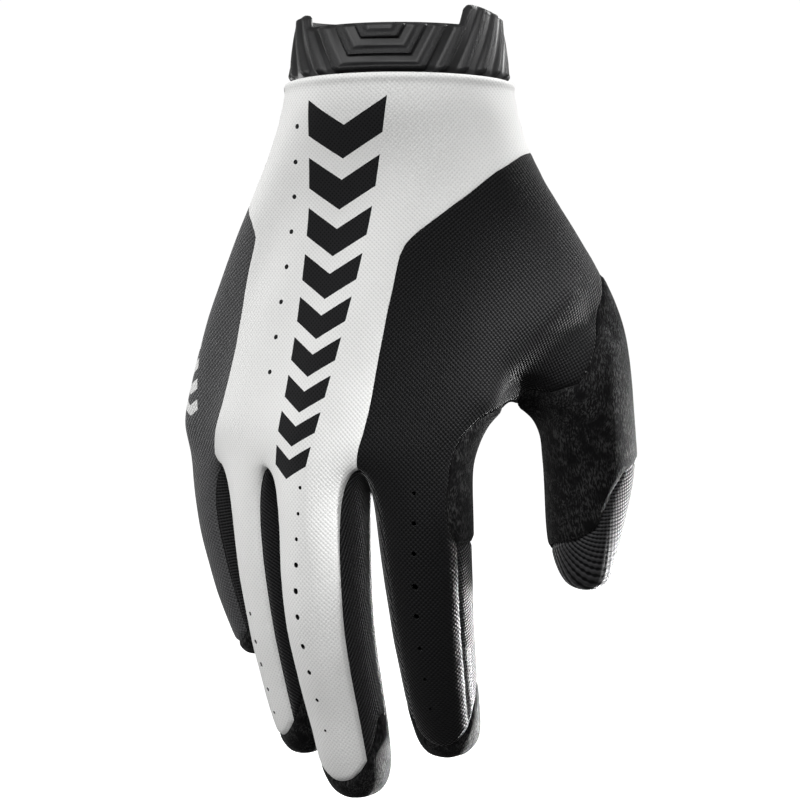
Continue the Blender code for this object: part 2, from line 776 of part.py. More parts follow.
def build():
    for thing in list(bpy.data.objects):
        bpy.data.objects.remove(thing)
    glove = bpy.data.collections.new("motocross_glove")
    bpy.context.scene.collection.children.link(glove)
    add_piece(glove, "wrist_cuff", cuff_mesh())
    skin, layers = skin_mesh(build_cage(), SKIN_LEVEL)
    cut_skin(skin, layers)
    shares = share_out(skin, layers)
    for name in PANEL_WALLS:
        add_piece(glove, name, make_panel(name, skin, layers, shares[name]))
    skin.free()


build()
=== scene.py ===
import math
import time
from types import SimpleNamespace

import bpy
import numpy as np
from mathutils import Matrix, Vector, kdtree, noise


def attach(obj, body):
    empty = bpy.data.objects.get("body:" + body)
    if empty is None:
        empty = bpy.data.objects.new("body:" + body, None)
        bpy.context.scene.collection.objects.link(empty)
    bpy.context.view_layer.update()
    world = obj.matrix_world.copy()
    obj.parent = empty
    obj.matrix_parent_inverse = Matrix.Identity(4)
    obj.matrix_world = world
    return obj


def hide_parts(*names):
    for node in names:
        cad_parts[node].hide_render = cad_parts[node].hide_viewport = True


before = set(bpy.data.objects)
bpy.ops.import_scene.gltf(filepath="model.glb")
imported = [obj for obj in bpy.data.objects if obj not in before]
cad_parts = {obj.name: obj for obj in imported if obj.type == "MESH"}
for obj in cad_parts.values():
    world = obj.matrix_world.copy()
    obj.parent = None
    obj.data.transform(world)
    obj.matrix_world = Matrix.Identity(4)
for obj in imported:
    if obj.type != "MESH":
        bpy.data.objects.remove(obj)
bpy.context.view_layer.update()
started = time.time()


def report(stage):
    print(f"{stage}: {time.time() - started:.1f} s")


# Camera, floor and light. The glove hangs clear of the floor, as if on a hidden stand.
view = {"place": (0, -0.620, -0.1064), "lens": 99.6, "sensor": 36}
studio = {
    "floorZ": -0.238, "floorReach": 4.0, "floorGlow": 0.80,
    "backgroundGlow": 1.02,
    # the sky's light below one height and above another
    "skyFrom": -0.5, "skyTo": 0.6, "below": 0.10, "above": 0.36,
    # name, place, aimed at, width, height, watts, beam in degrees
    "lamps": (
        ("keyLeft", (-1.00, -1.10, 0.45), (0, 0, -0.10), 0.8, 0.8, 10.5, 180),
        ("front", (0.0, -1.20, 0.90), (0, 0, -0.10), 0.9, 0.9, 13.5, 180),
        ("rimRight", (0.77, 0.45, -0.22), (0.05, 0, -0.22), 0.22, 0.14, 2.2, 14),
        ("topRight", (0.62, 0.30, 0.42), (0.03, 0, -0.07), 0.20, 0.20, 0.50, 50),
        ("cuffRight", (0.60, -0.16, 0.10), (0.03, 0, -0.006), 0.08, 0.10, 0.004, 9),
        ("rimLeft", (-0.72, 0.40, -0.15), (-0.03, 0, -0.14), 0.2, 0.6, 0.55, 60),
    ),
    # a soft spot for the fold between thumb and hand: place, aimed at, watts, cone in degrees, radius
    "spot": ((0.42, -0.22, 0.30), (0.033, -0.012, -0.089), 60.0, 5.0, 0.015),
}


def addCamera():
    camera = bpy.data.cameras.new("camera")
    camera.lens = view["lens"]
    camera.sensor_width = view["sensor"]
    holder = bpy.data.objects.new("camera", camera)
    holder.location = view["place"]
    holder.rotation_euler = (math.pi / 2, 0, 0)  # level, looking along +Y
    bpy.context.scene.collection.objects.link(holder)
    bpy.context.scene.camera = holder


def addLamp(name, kind, place, target, settings):
    lamp = bpy.data.lights.new(name, kind)
    for setting, value in settings.items():
        setattr(lamp, setting, value)
    holder = bpy.data.objects.new(name, lamp)
    holder.location = place
    holder.rotation_euler = (Vector(target) - Vector(place)).to_track_quat("-Z", "Y").to_euler()
    bpy.context.scene.collection.objects.link(holder)


def addLamps():
    for name, place, target, wide, high, watts, beam in studio["lamps"]:
        addLamp(name, "AREA", place, target, {
            "shape": "RECTANGLE", "size": wide, "size_y": high, "energy": watts,
            "spread": math.radians(beam)})
    place, target, watts, cone, radius = studio["spot"]
    addLamp("foldSpot", "SPOT", place, target, {
        "energy": watts, "spot_size": math.radians(cone), "spot_blend": 1.0,
        "shadow_soft_size": radius})


# Shader writing: a wrapped socket with operators, and one method for every other node
class Wire:
    def __init__(self, graph, socket):
        self.graph, self.socket = graph, socket

    def math(self, operation, *others):
        sockets = dict(enumerate((self, *others)))
        return self.graph.make("ShaderNodeMath", {"operation": operation}, sockets)["Value"]

    def __add__(self, other):
        return self.math("ADD", other)

    def __sub__(self, other):
        return self.math("SUBTRACT", other)

    def __rsub__(self, other):
        return self * -1 + other

    def __mul__(self, other):
        return self.math("MULTIPLY", other)

    __radd__ = __add__
    __rmul__ = __mul__

    def step(self, low, high):
        # 0 below low, 1 above high, smooth between
        node = self.graph.make("ShaderNodeMapRange", {"interpolation_type": "SMOOTHSTEP"},
                               {"Value": self, "From Min": low, "From Max": high})
        return node["Result"]

    def wave(self, length):
        return (self * (2 * math.pi / length)).math("COSINE")


class Made:
    # a new node, whose outputs read as wires by name
    def __init__(self, graph, node):
        self.graph, self.node = graph, node

    def __getitem__(self, name):
        return Wire(self.graph, self.node.outputs[name])


class Graph:
    def __init__(self, block):
        self.block = block  # a material or a world
        block.use_nodes = True
        self.tree = block.node_tree

    def make(self, kind, settings=(), sockets=()):
        node = self.tree.nodes.new(kind)
        for name, value in dict(settings).items():
            if name == "stops":
                self.setStops(node.color_ramp, value)
            else:
                setattr(node, name, value)
        for name, value in dict(sockets).items():
            self.feed(node.inputs[name], value)
        return Made(self, node)

    def setStops(self, ramp, stops):
        while len(ramp.elements) < len(stops):
            ramp.elements.new(0.5)
        for element, (place, colour) in zip(ramp.elements, stops):
            element.position = place
            element.color = (*colour, 1)

    def feed(self, socket, value):
        if isinstance(value, Wire):
            self.tree.links.new(value.socket, socket)
        elif isinstance(value, tuple) and len(value) == 3 and len(socket.default_value) == 4:
            socket.default_value = (*value, 1)
        else:
            socket.default_value = value

    def attribute(self, name):
        return self.make("ShaderNodeAttribute", {"attribute_name": name})["Vector"]

    def split(self, vector):
        parts = self.make("ShaderNodeSeparateXYZ", {}, {"Vector": vector})
        return parts["X"], parts["Y"], parts["Z"]

    def join(self, x, y, z):
        return self.make("ShaderNodeCombineXYZ", {}, {"X": x, "Y": y, "Z": z})["Vector"]

    def place(self):
        return self.make("ShaderNodeTexCoord")["Object"]

    def speckle(self, vector, scale, detail=2.0, rough=0.5):
        node = self.make("ShaderNodeTexNoise", {}, {"Vector": vector, "Scale": scale, "Detail": detail,
                                                    "Roughness": rough})
        return node["Fac"]

    def mixed(self, share, first, second):
        node = self.make("ShaderNodeMix", {"data_type": "RGBA"}, {0: share, 6: first, 7: second})
        return Wire(self, node.node.outputs[2])

    def bumped(self, height, distance, strength=1.0):
        return self.make("ShaderNodeBump", {}, {"Height": height, "Distance": distance,
                                                "Strength": strength})["Normal"]

    def finish(self, colour, roughness, normal=None, **constants):
        shader = self.tree.nodes["Principled BSDF"]
        self.feed(shader.inputs["Base Color"], colour)
        self.feed(shader.inputs["Roughness"], roughness)
        if normal is not None:
            self.feed(shader.inputs["Normal"], normal)
        for name, value in constants.items():
            self.feed(shader.inputs[name], value)
        return self.block


def newFinish(name):
    return Graph(bpy.data.materials.new(name))


# Pique knit: dimples in offset rows, a thread's width apart. Lengths are millimetres of flat cloth.
knit = {
    # lining: near-black, painted shade inside the glove, seen in the holes and seam gaps
    "pitch": 1.29, "dimple": (0.25, 0.75), "relief": 0.00012, "lining": (0.010, 0.010, 0.0105),
    "white": (0.78, 0.78, 0.77), "whiteDimple": (0.66, 0.66, 0.655),
    "black": (0.0095, 0.0095, 0.0100), "blackDimple": (0.0030, 0.0030, 0.0032),
    # the outer panel's black knit painted lighter: painted light from the left lamp grazing it
    "charcoal": (0.075, 0.075, 0.077), "charcoalDimple": (0.034, 0.034, 0.035),
    # grey: rib threads of the gussets and side strip, painted lighter than the black knit as painted rim
    # light from the right
    "grey": (0.026, 0.026, 0.027), "greyGap": (0.003, 0.003, 0.0033),
    # thumbGrey: the thumb tip's rib knit painted lighter, as painted rim light from the right
    "thumbGrey": (0.050, 0.050, 0.052),
    "ribPitch": 0.95, "thumbPitch": 1.4725, "ribSlant": 0.55,
    "gloss": {"Specular IOR Level": 0.08, "Sheen Weight": 0.24, "Sheen Roughness": 0.30},
    "ribGloss": {"Specular IOR Level": 0.08, "Sheen Weight": 0.36, "Sheen Roughness": 0.30},
}
# Printed marks: a column of chevrons that shrink toward the fingers, with a line of small dots
chevrons = {
    "top": 29.0, "end": 130.0, "centre": -3.5, "drift": -0.185, "slope": 0.62,
    "firstPitch": 16.5, "lastPitch": 9.0, "filled": 0.60, "halfWidth": 11.5, "shrink": 0.052,
    "ink": (0.0145, 0.0145, 0.0155),
    # the dots: distance from the chevrons' middle line, first and last, pitch and radius
    "dotsAt": -15.2, "dotsFrom": 29.0, "dotsTo": 103.0, "dotPitch": 10.0, "dotRadius": 0.70,
}


def pique(graph, across, along):
    # 1 in the dimples, 0 on the threads
    lattice = across.wave(knit["pitch"]) * along.wave(knit["pitch"])
    return lattice, lattice.step(*knit["dimple"])


def knitNormal(graph, height):
    fuzz = graph.speckle(graph.place(), 1800.0)
    return graph.bumped(fuzz * 0.12 + height, knit["relief"])


def withHollowShade(graph, depth, colour):
    # the same dark colour inside every panel, from just below its face, on its inner face and the walls of
    # its edges and holes: painted shade of the glove's hollow
    return graph.mixed(depth.step(0.04, 0.25), colour, knit["lining"])


def chevronInk(across, along):
    # chevrons by the distance down their arms, and a line of dots beside them
    rest = across - (along - chevrons["top"]) * chevrons["drift"] - chevrons["centre"]
    side = rest.math("ABSOLUTE")
    reach = along + side * chevrons["slope"] - chevrons["top"]
    span = chevrons["end"] - chevrons["top"]
    slow, fast = 1 / chevrons["firstPitch"], 1 / chevrons["lastPitch"]
    count = reach * slow + reach * reach * ((fast - slow) / 2 / span)
    stripe = count.math("FRACT").math("LESS_THAN", chevrons["filled"])
    within = side.math("LESS_THAN", chevrons["halfWidth"] - reach * chevrons["shrink"])
    arms = stripe * within * reach.math("GREATER_THAN", 0.0) * reach.math("LESS_THAN", span)
    dotAcross = rest - chevrons["dotsAt"]
    dotAlong = (along - chevrons["dotsFrom"]).math("PINGPONG", chevrons["dotPitch"] / 2)
    dots = (dotAcross * dotAcross + dotAlong * dotAlong).math("LESS_THAN", chevrons["dotRadius"] ** 2)
    row = (along.math("GREATER_THAN", chevrons["dotsFrom"] - 1)
           * along.math("LESS_THAN", chevrons["dotsTo"]))
    return arms.math("MAXIMUM", dots * row)


def whiteKnit():
    graph = newFinish("whiteKnit")
    across, along, depth = graph.split(graph.attribute("cloth"))
    lattice, dimple = pique(graph, across, along)
    tone = graph.speckle(graph.place(), 90.0)
    white = graph.mixed(dimple, knit["white"], knit["whiteDimple"])
    inked = graph.mixed(dimple, chevrons["ink"], knit["blackDimple"])
    colour = withHollowShade(graph, depth, graph.mixed(chevronInk(across, along), white, inked))
    return graph.finish(colour, 0.82 + tone * 0.08, knitNormal(graph, lattice * -0.3),
                        **{"Specular IOR Level": 0.12})


def blackKnit():
    graph = newFinish("blackKnit")
    across, along, depth = graph.split(graph.attribute("cloth"))
    lattice, dimple = pique(graph, across, along)
    colour = withHollowShade(graph, depth, graph.mixed(dimple, knit["black"], knit["blackDimple"]))
    return graph.finish(colour, 0.60 + dimple * 0.2, knitNormal(graph, lattice * -1), **knit["gloss"])


# A short row of small white chevrons on the outer side of the hand, in millimetres of its own cloth
outerMark = {
    "top": 91.0, "end": 114.0, "centre": -22.6, "slope": 0.55, "pitch": 5.8, "filled": 0.5,
    "halfWidth": 3.6, "ink": (0.70, 0.70, 0.69),
}


def outerKnit():
    graph = newFinish("outerKnit")
    across, along, depth = graph.split(graph.attribute("cloth"))
    lattice, dimple = pique(graph, across, along)
    # the black knit painted lighter here: painted light from the left
    black = graph.mixed(dimple, knit["charcoal"], knit["charcoalDimple"])
    side = (across - outerMark["centre"]).math("ABSOLUTE")
    reach = along + side * outerMark["slope"] - outerMark["top"]
    mark = ((reach * (1 / outerMark["pitch"])).math("FRACT").math("LESS_THAN", outerMark["filled"])
            * side.math("LESS_THAN", outerMark["halfWidth"]) * reach.math("GREATER_THAN", 0.0)
            * reach.math("LESS_THAN", outerMark["end"] - outerMark["top"]))
    white = graph.mixed(dimple, outerMark["ink"], knit["whiteDimple"])
    colour = withHollowShade(graph, depth, graph.mixed(mark, black, white))
    return graph.finish(colour, 0.60 + dimple * 0.2, knitNormal(graph, lattice * -1), **knit["gloss"])


def ribbed(graph, pitch, thread):
    across, along, depth = graph.split(graph.attribute("cloth"))
    rib = (along + across * knit["ribSlant"]).wave(pitch)
    cells = (across - along * knit["ribSlant"]).wave(pitch)
    ridge = rib + cells * 0.35
    # thread is painted lighter than the black knit: painted rim light from the right
    colour = withHollowShade(graph, depth, graph.mixed(ridge.step(-0.9, 0.5), knit["greyGap"], thread))
    return colour, ridge


def ribKnit():
    graph = newFinish("ribKnit")
    colour, ridge = ribbed(graph, knit["ribPitch"], knit["grey"])
    return graph.finish(colour, 0.66, knitNormal(graph, ridge), **knit["ribGloss"])


def thumbKnit():
    graph = newFinish("thumbKnit")
    # rib colour painted lighter: painted rim light from the right
    colour, ridge = ribbed(graph, knit["thumbPitch"], knit["thumbGrey"])
    return graph.finish(colour, 0.66, knitNormal(graph, ridge), **knit["ribGloss"])


# Silicone net printed near the index finger's tip, on its thumb side
grip = {
    "colour": (0.10, 0.10, 0.10), "cell": 1.15, "web": (0.10, 0.20), "from": 1.58, "to": 1.90,
    "lift": 0.22,
}


def gripKnit():
    graph = newFinish("gripKnit")
    colour, ridge = ribbed(graph, knit["ribPitch"], knit["grey"])
    across, along, _ = graph.split(graph.attribute("cloth"))
    _, lift, down = graph.split(graph.attribute("place"))
    cells = graph.make("ShaderNodeTexVoronoi", {"feature": "DISTANCE_TO_EDGE"},
                       {"Vector": graph.join(across * 1.5, along, 0.0), "Scale": 1 / grip["cell"],
                        "Randomness": 0.35})["Distance"]
    net = (1 - cells.step(*grip["web"])) * down.step(grip["from"], grip["from"] + 0.02)
    net = net * (1 - down.step(grip["to"] - 0.01, grip["to"]))
    net = net * lift.step(grip["lift"], grip["lift"] + 0.02)
    printed = graph.mixed(net, colour, grip["colour"])
    return graph.finish(printed, 0.66 - net * 0.2, knitNormal(graph, ridge * (1 - net) + net * 2),
                        **knit["ribGloss"])


suedeNap = {
    "dark": (0.0040, 0.0040, 0.0043), "light": (0.036, 0.036, 0.036), "leans": (24, -16),
    "patchScale": 60.0, "alongScale": 700.0, "acrossScale": 2200.0, "relief": 0.00030,
    "gloss": {"Specular IOR Level": 0.06, "Sheen Weight": 0.08, "Sheen Roughness": 0.35},
}


def suede():
    graph = newFinish("suede")
    x, y, z = graph.split(graph.place())
    patches = graph.speckle(graph.place(), suedeNap["patchScale"], 1.0)
    brushed = []
    for lean in suedeNap["leans"]:
        cos, sin = math.cos(math.radians(lean)), math.sin(math.radians(lean))
        along = (x + y) * sin + z * cos
        across = (x + y * 0.8) * cos - z * sin
        stretched = graph.join(across * suedeNap["acrossScale"], along * suedeNap["alongScale"],
                               (y - x * 0.7) * suedeNap["acrossScale"])
        brushed.append(graph.speckle(stretched, 1.0, 2.0, 0.6))
    share = patches.step(0.46, 0.54)
    hairs = brushed[0] * (1 - share) + brushed[1] * share
    tufts = graph.speckle(graph.place(), 260.0, 2.0)
    lit = hairs.step(0.44, 0.64) * tufts.step(0.30, 0.62)
    colour = graph.mixed(lit, suedeNap["dark"], suedeNap["light"])
    normal = graph.bumped(hairs + tufts * 0.8, suedeNap["relief"])
    return graph.finish(colour, 0.86 - lit * 0.15, normal, **suedeNap["gloss"])


rubberSkin = {
    "dark": (0.0060, 0.0060, 0.0063), "worn": (0.011, 0.011, 0.012), "coarse": (0.017, 0.017, 0.018),
    "grain": 2200.0, "relief": 0.00018,
}


def rubber():
    # smooth in the recesses, coarse on the raised steps
    graph = newFinish("rubber")
    step = graph.make("ShaderNodeAttribute", {"attribute_name": "step"})["Fac"].step(0.3, 0.9)
    grain = graph.speckle(graph.place(), rubberSkin["grain"], 2.0, 0.6)
    tone = graph.speckle(graph.place(), 160.0, 3.0)
    smooth = graph.mixed(tone.step(0.35, 0.75), rubberSkin["dark"], rubberSkin["worn"])
    colour = graph.mixed(step * grain.step(0.5, 0.7), smooth, rubberSkin["coarse"])
    normal = graph.bumped(grain * (step * 0.85 + 0.15), rubberSkin["relief"])
    return graph.finish(colour, 0.36 + tone * 0.10 + step * 0.16, normal, **{"Specular IOR Level": 0.36})


def floorFinish():
    graph = newFinish("palePaper")
    colour = graph.mixed(graph.speckle(graph.place(), 3.0), (0.86, 0.86, 0.86), (0.88, 0.88, 0.88))
    glow = {"Emission Color": (1, 1, 1), "Emission Strength": studio["floorGlow"]}
    return graph.finish(colour, 0.9, **glow)


def addStage():
    reach, z = studio["floorReach"], studio["floorZ"]
    mesh = bpy.data.meshes.new("floor")
    mesh.from_pydata([(-reach, -reach, z), (reach, -reach, z), (reach, reach, z), (-reach, reach, z)], [],
                     [(0, 1, 2, 3)])
    mesh.materials.append(floorFinish())
    floor = bpy.data.objects.new("floor", mesh)
    bpy.context.scene.collection.objects.link(floor)
    floor.visible_diffuse = floor.visible_glossy = False  # it doesn't glow onto the glove
    graph = Graph(bpy.data.worlds.new("studio"))
    bpy.context.scene.world = graph.block
    # soft light, mostly from above, behind a plain white that only the camera sees
    _, _, upward = graph.split(graph.make("ShaderNodeTexCoord")["Generated"])
    glow = graph.make("ShaderNodeMapRange", {}, {
        "Value": upward, "From Min": studio["skyFrom"], "From Max": studio["skyTo"],
        "To Min": studio["below"], "To Max": studio["above"]})["Result"]
    white = (1, 1, 1)
    lighting = graph.make("ShaderNodeBackground", {}, {"Color": white, "Strength": glow})["Background"]
    seen = graph.make("ShaderNodeBackground", {}, {
        "Color": white, "Strength": studio["backgroundGlow"]})["Background"]
    toCamera = graph.make("ShaderNodeLightPath")["Is Camera Ray"]
    either = graph.make("ShaderNodeMixShader", {}, {0: toCamera, 1: lighting, 2: seen})["Shader"]
    graph.feed(graph.tree.nodes["World Output"].inputs["Surface"], either)
    bpy.context.scene.view_settings.view_transform = "Standard"


# The hand form: a coarse cage from short tables, smoothed to the skin that every panel is cut from
hand = {
    "palmLength": 0.1045, "palmWidth": 0.080, "palmDepth": 0.030, "wristWidth": 0.066,
    "wristDepth": 0.049, "hemZ": -0.018,
    # down as a share of palmLength, left and right of palmWidth, arch from wrist 0 to knuckles 1,
    # depth as a share of its own, back as a share of palmWidth
    "rings": (
        (0.000, -0.405, 0.400, 0.00, 1.00, 0.000),
        (0.080, -0.422, 0.418, 0.04, 1.00, 0.000),
        (0.160, -0.452, 0.448, 0.12, 0.94, 0.005),
        (0.290, -0.530, 0.535, 0.30, 0.92, 0.010),
        (0.545, -0.688, 0.455, 0.62, 0.98, 0.010),
        (0.858, -0.806, 0.385, 0.90, 1.00, 0.000),
        (0.930, -0.815, 0.318, 0.97, 1.00, 0.000),
    ),
    "webDropMiddle": 0.020, "webDropPalm": 0.030,
}
fingers = {
    # across as a share of palmWidth, back of palmDepth, roll in degrees, width, depth and length,
    # then rings: along, curl, lean, width and depth as shares
    "little": (-0.650, 1.38, 76, 0.0205, 0.0205, 0.061, (
        (0.17, 3, 1, 0.99, 0.99), (0.36, 8, 0, 0.96, 0.96), (0.56, 12, 0, 0.90, 0.90),
        (0.76, 15, 0, 0.82, 0.82), (0.92, 14, 0, 0.70, 0.70), (1.00, 12, 0, 0.40, 0.40))),
    "ring": (-0.472, 0.75, 70, 0.0235, 0.0235, 0.0890, (
        (0.14, 2, -1, 0.99, 0.99), (0.34, 5, -2, 0.97, 0.97), (0.54, 9, -3, 0.91, 0.91),
        (0.74, 13, -4, 0.84, 0.84), (0.91, 13, -3, 0.76, 0.76), (1.00, 12, -3, 0.46, 0.46))),
    "middle": (-0.264, 0.10, 35, 0.0265, 0.0250, 0.1010, (
        (0.12, 1, -1, 1.00, 1.00), (0.30, 2, -1, 1.00, 1.00), (0.50, 8, -1, 0.96, 0.96),
        (0.71, 20, 0, 0.86, 0.86), (0.90, 18, 0, 0.83, 0.83), (1.00, 14, 0, 0.52, 0.52))),
    "index": (0.072, -0.20, 10, 0.0272, 0.0250, 0.0890, (
        (0.14, 3, 2, 1.00, 1.00), (0.33, 6, 3, 0.95, 0.97), (0.53, 12, 3, 0.87, 0.90),
        (0.73, 20, 4, 0.79, 0.84), (0.90, 26, 4, 0.74, 0.78), (1.00, 28, 4, 0.54, 0.54))),
}
thumb = {
    "length": 0.076, "width": 0.026, "depth": 0.025, "root": (0.551, 0.13, 0.657),
    # across, down and back as shares of length, tilt in degrees, width and depth as shares
    "rings": (
        (0.020, 0.048, 0.00, 52, 1.66, 1.20), (0.083, 0.190, 0.07, 34, 1.36, 1.06),
        (0.124, 0.380, 0.12, 12, 1.02, 1.00), (0.145, 0.530, 0.15, 5, 1.01, 0.98),
        (0.130, 0.690, 0.17, 3, 0.90, 0.90), (0.112, 0.850, 0.18, -4, 0.73, 0.74),
        (0.128, 0.990, 0.19, 0, 0.44, 0.42),
    ),
}
knuckleZ = hand["hemZ"] - hand["palmLength"]
octagonDrawIn = (2 * math.cos(math.pi / 4) + 4) / 6  # what smoothing takes off an eight-sided ring


class Cage:
    # fields: column 0 to 8 across the fingers, lift 1 on backs and -1 in the palm, down 0 at the hem,
    # 1 at the knuckles and 2 at a fingertip, then reach along the thumb and the way round it
    def __init__(self):
        self.points, self.fields, self.faces = [], [], []

    def add(self, point, column, lift, down, reach=-1.0, turnCos=0.0, turnSin=0.0):
        self.points.append(Vector(point))
        self.fields.append([column, lift, down, reach, turnCos, turnSin])
        return len(self.points) - 1

    def bridge(self, upper, lower, skip=()):
        count = len(upper)
        for i in range(count):
            if i not in skip:
                j = (i + 1) % count
                self.faces.append((upper[i], upper[j], lower[j], lower[i]))


def handColumn(i):
    if i in (0, 10):
        return (8.5, 0.0) if i == 0 else (-0.5, 0.0)
    column, sign = (9 - i, 1) if i < 10 else (i - 11, -1)
    return float(column), sign * (0.5 if column in (0, 8) else 1.0)


def fingerAxes(roll):
    angle = math.radians(roll)
    side = Vector((math.cos(angle), -math.sin(angle), 0))
    return side, Vector((-math.sin(angle), -math.cos(angle), 0))


def octagon(centre, side, back, width, depth):
    reachSide, reachBack = width / 2 / octagonDrawIn, depth / 2 / octagonDrawIn
    return [centre + reachSide * math.cos(angle) * side + reachBack * math.sin(angle) * back
            for angle in (k * math.pi / 4 for k in range(8))]


def fingerBase(row):
    return Vector((row[0] * hand["palmWidth"], row[1] * hand["palmDepth"], knuckleZ))


def knuckleRow():
    ovals = []
    for row in fingers.values():
        side, back = fingerAxes(row[2])
        ovals.append(octagon(fingerBase(row), side, back, row[3], row[4]))
    ring, webs = [None] * 20, []
    for k, oval in enumerate(ovals):
        ring[8 - 2 * k], ring[12 + 2 * k] = oval[2], oval[6]
    ring[9], ring[10], ring[11] = ovals[0][3], ovals[0][4], ovals[0][5]
    ring[1], ring[0], ring[19] = ovals[3][1], ovals[3][0], ovals[3][7]
    for k in range(3):
        near, far = ovals[k], ovals[k + 1]
        drops = (0, hand["webDropMiddle"], hand["webDropPalm"])
        back, middle, palm = ((near[a] + far[b]) / 2 - Vector((0, 0, drop * hand["palmLength"]))
                              for a, b, drop in zip((1, 0, 7), (3, 4, 5), drops))
        ring[7 - 2 * k], ring[13 + 2 * k] = back, palm
        webs.append(middle)
    return ring, webs


def addHand(cage):
    knuckles, webs = knuckleRow()
    rings = []
    for number, (down, left, right, arch, depth, back) in enumerate(hand["rings"]):
        angles = [math.pi * i / 10 for i in range(20)]
        wrist = [Vector((hand["wristWidth"] / 2 * math.cos(a), -hand["wristDepth"] / 2 * math.sin(a), 0))
                 for a in angles]
        blended = [wrist[i].lerp(knuckles[i], arch) for i in range(20)]
        low, high = min(p.x for p in blended), max(p.x for p in blended)
        ring = []
        for i, point in enumerate(blended):
            if number == 4 and i == 0:  # the thumb's hole
                ring.append(None)
                continue
            x = (left + (right - left) * (point.x - low) / (high - low)) * hand["palmWidth"]
            y = point.y * depth + back * hand["palmWidth"]
            ring.append(cage.add((x, y, hand["hemZ"] - down * hand["palmLength"]), *handColumn(i), down))
        rings.append(ring)
    last = []
    for i, point in enumerate(knuckles):
        column, lift = handColumn(i)
        last.append(cage.add(point, column, lift * (0.5 if column in (2, 4, 6) else 1), 1.0))
    rings.append(last)
    for number in range(len(rings) - 1):
        cage.bridge(rings[number], rings[number + 1], (0, 19) if number in (3, 4) else ())
    return rings, [cage.add(point, 2.0 * k + 2, 0.0, 1.0) for k, point in enumerate(webs)]


def addFinger(cage, number, row, knuckles, webs):
    side, back = fingerAxes(row[2])
    first = 2 * number
    leftWeb = knuckles[10] if number == 0 else webs[number - 1]
    rightWeb = knuckles[0] if number == 3 else webs[number]
    ring = [rightWeb, knuckles[7 - first], knuckles[8 - first], knuckles[9 - first], leftWeb,
            knuckles[11 + first], knuckles[12 + first], knuckles[13 + first]]
    columns = (first + 2, first + 2, first + 1, first, first, first, first + 1, first + 2)
    lifts = (0.0, 0.5, 1.0, 0.5, 0.0, -0.5, -1.0, -0.5)
    centre, done = fingerBase(row), 0.0
    for along, curl, lean, wide, deep in row[6]:
        curl, lean = math.radians(curl), math.radians(lean)
        heading = Vector((0, 0, -1)) * math.cos(curl) - back * math.sin(curl) + side * math.sin(lean)
        heading.normalize()
        centre = centre + heading * (along - done) * row[5]
        done = along
        ringSide = (side - heading * side.dot(heading)).normalized()
        ringBack = ringSide.cross(heading)
        if ringBack.dot(back) < 0:
            ringBack = -ringBack
        oval = octagon(centre, ringSide, ringBack, row[3] * wide, row[4] * deep)
        lower = [cage.add(point, columns[k], lifts[k], 1.0 + along) for k, point in enumerate(oval)]
        cage.bridge(ring, lower)
        ring = lower
    cage.faces.append(tuple(ring))


def addThumb(cage, rings):
    top, middle, low = rings[3:6]
    ring = [top[0], top[1], middle[1], low[1], low[0], low[19], middle[19], top[19]]
    turns = [(math.cos(k * math.pi / 4), math.sin(k * math.pi / 4)) for k in range(8)]
    for point, turn in zip(ring, turns):
        cage.fields[point][3:] = [0.0, *turn]
    across, back, down = thumb["root"]
    root = Vector((across * hand["palmWidth"], back * hand["palmDepth"],
                   hand["hemZ"] - down * hand["palmLength"]))
    for number, (across, down, back, tilt, wide, deep) in enumerate(thumb["rings"]):
        tilt = math.radians(tilt)
        centre = root + Vector((across, back, -down)) * thumb["length"]
        oval = octagon(centre, Vector((math.cos(tilt), 0, math.sin(tilt))), Vector((0, -1, 0)),
                       thumb["width"] * wide, thumb["depth"] * deep)
        lower = [cage.add(point, 8.5, turn[1], 0.6, number + 1.0, *turn) for point, turn in zip(oval, turns)]
        cage.bridge(ring, lower)
        ring = lower
    cage.faces.append(tuple(ring))


def smoothed(vectors, faces, level):
    mesh = bpy.data.meshes.new("cage")
    mesh.from_pydata([tuple(v) for v in vectors], [], faces)
    guide = bpy.data.objects.new("cage", mesh)
    bpy.context.scene.collection.objects.link(guide)
    smoothing = guide.modifiers.new("smooth", "SUBSURF")
    smoothing.levels = level
    result = bpy.data.meshes.new_from_object(guide.evaluated_get(bpy.context.evaluated_depsgraph_get()))
    places = np.empty(len(result.vertices) * 3)
    result.vertices.foreach_get("co", places)
    corners = np.empty(len(result.loops), np.int32)
    result.loops.foreach_get("vertex_index", corners)
    bpy.data.objects.remove(guide)
    bpy.data.meshes.remove(result)
    return places.reshape(-1, 3), corners.reshape(-1, 4)


def crossed(points, tris):
    a, b, c = (points[tris[:, k]] for k in range(3))
    return np.cross(b - a, c - a)


def pointNormals(points, tris):
    total = np.zeros_like(points)
    for k in range(3):
        np.add.at(total, tris[:, k], crossed(points, tris))
    return total / np.maximum(np.linalg.norm(total, axis=1), 1e-12)[:, None]


def placesOf(marks):
    column, lift, down, reach, turnCos, turnSin = marks[:, :6].T
    turn = np.degrees(np.arctan2(turnSin, turnCos)) % 360
    return SimpleNamespace(column=column, lift=lift, down=down, reach=reach, turn=turn)


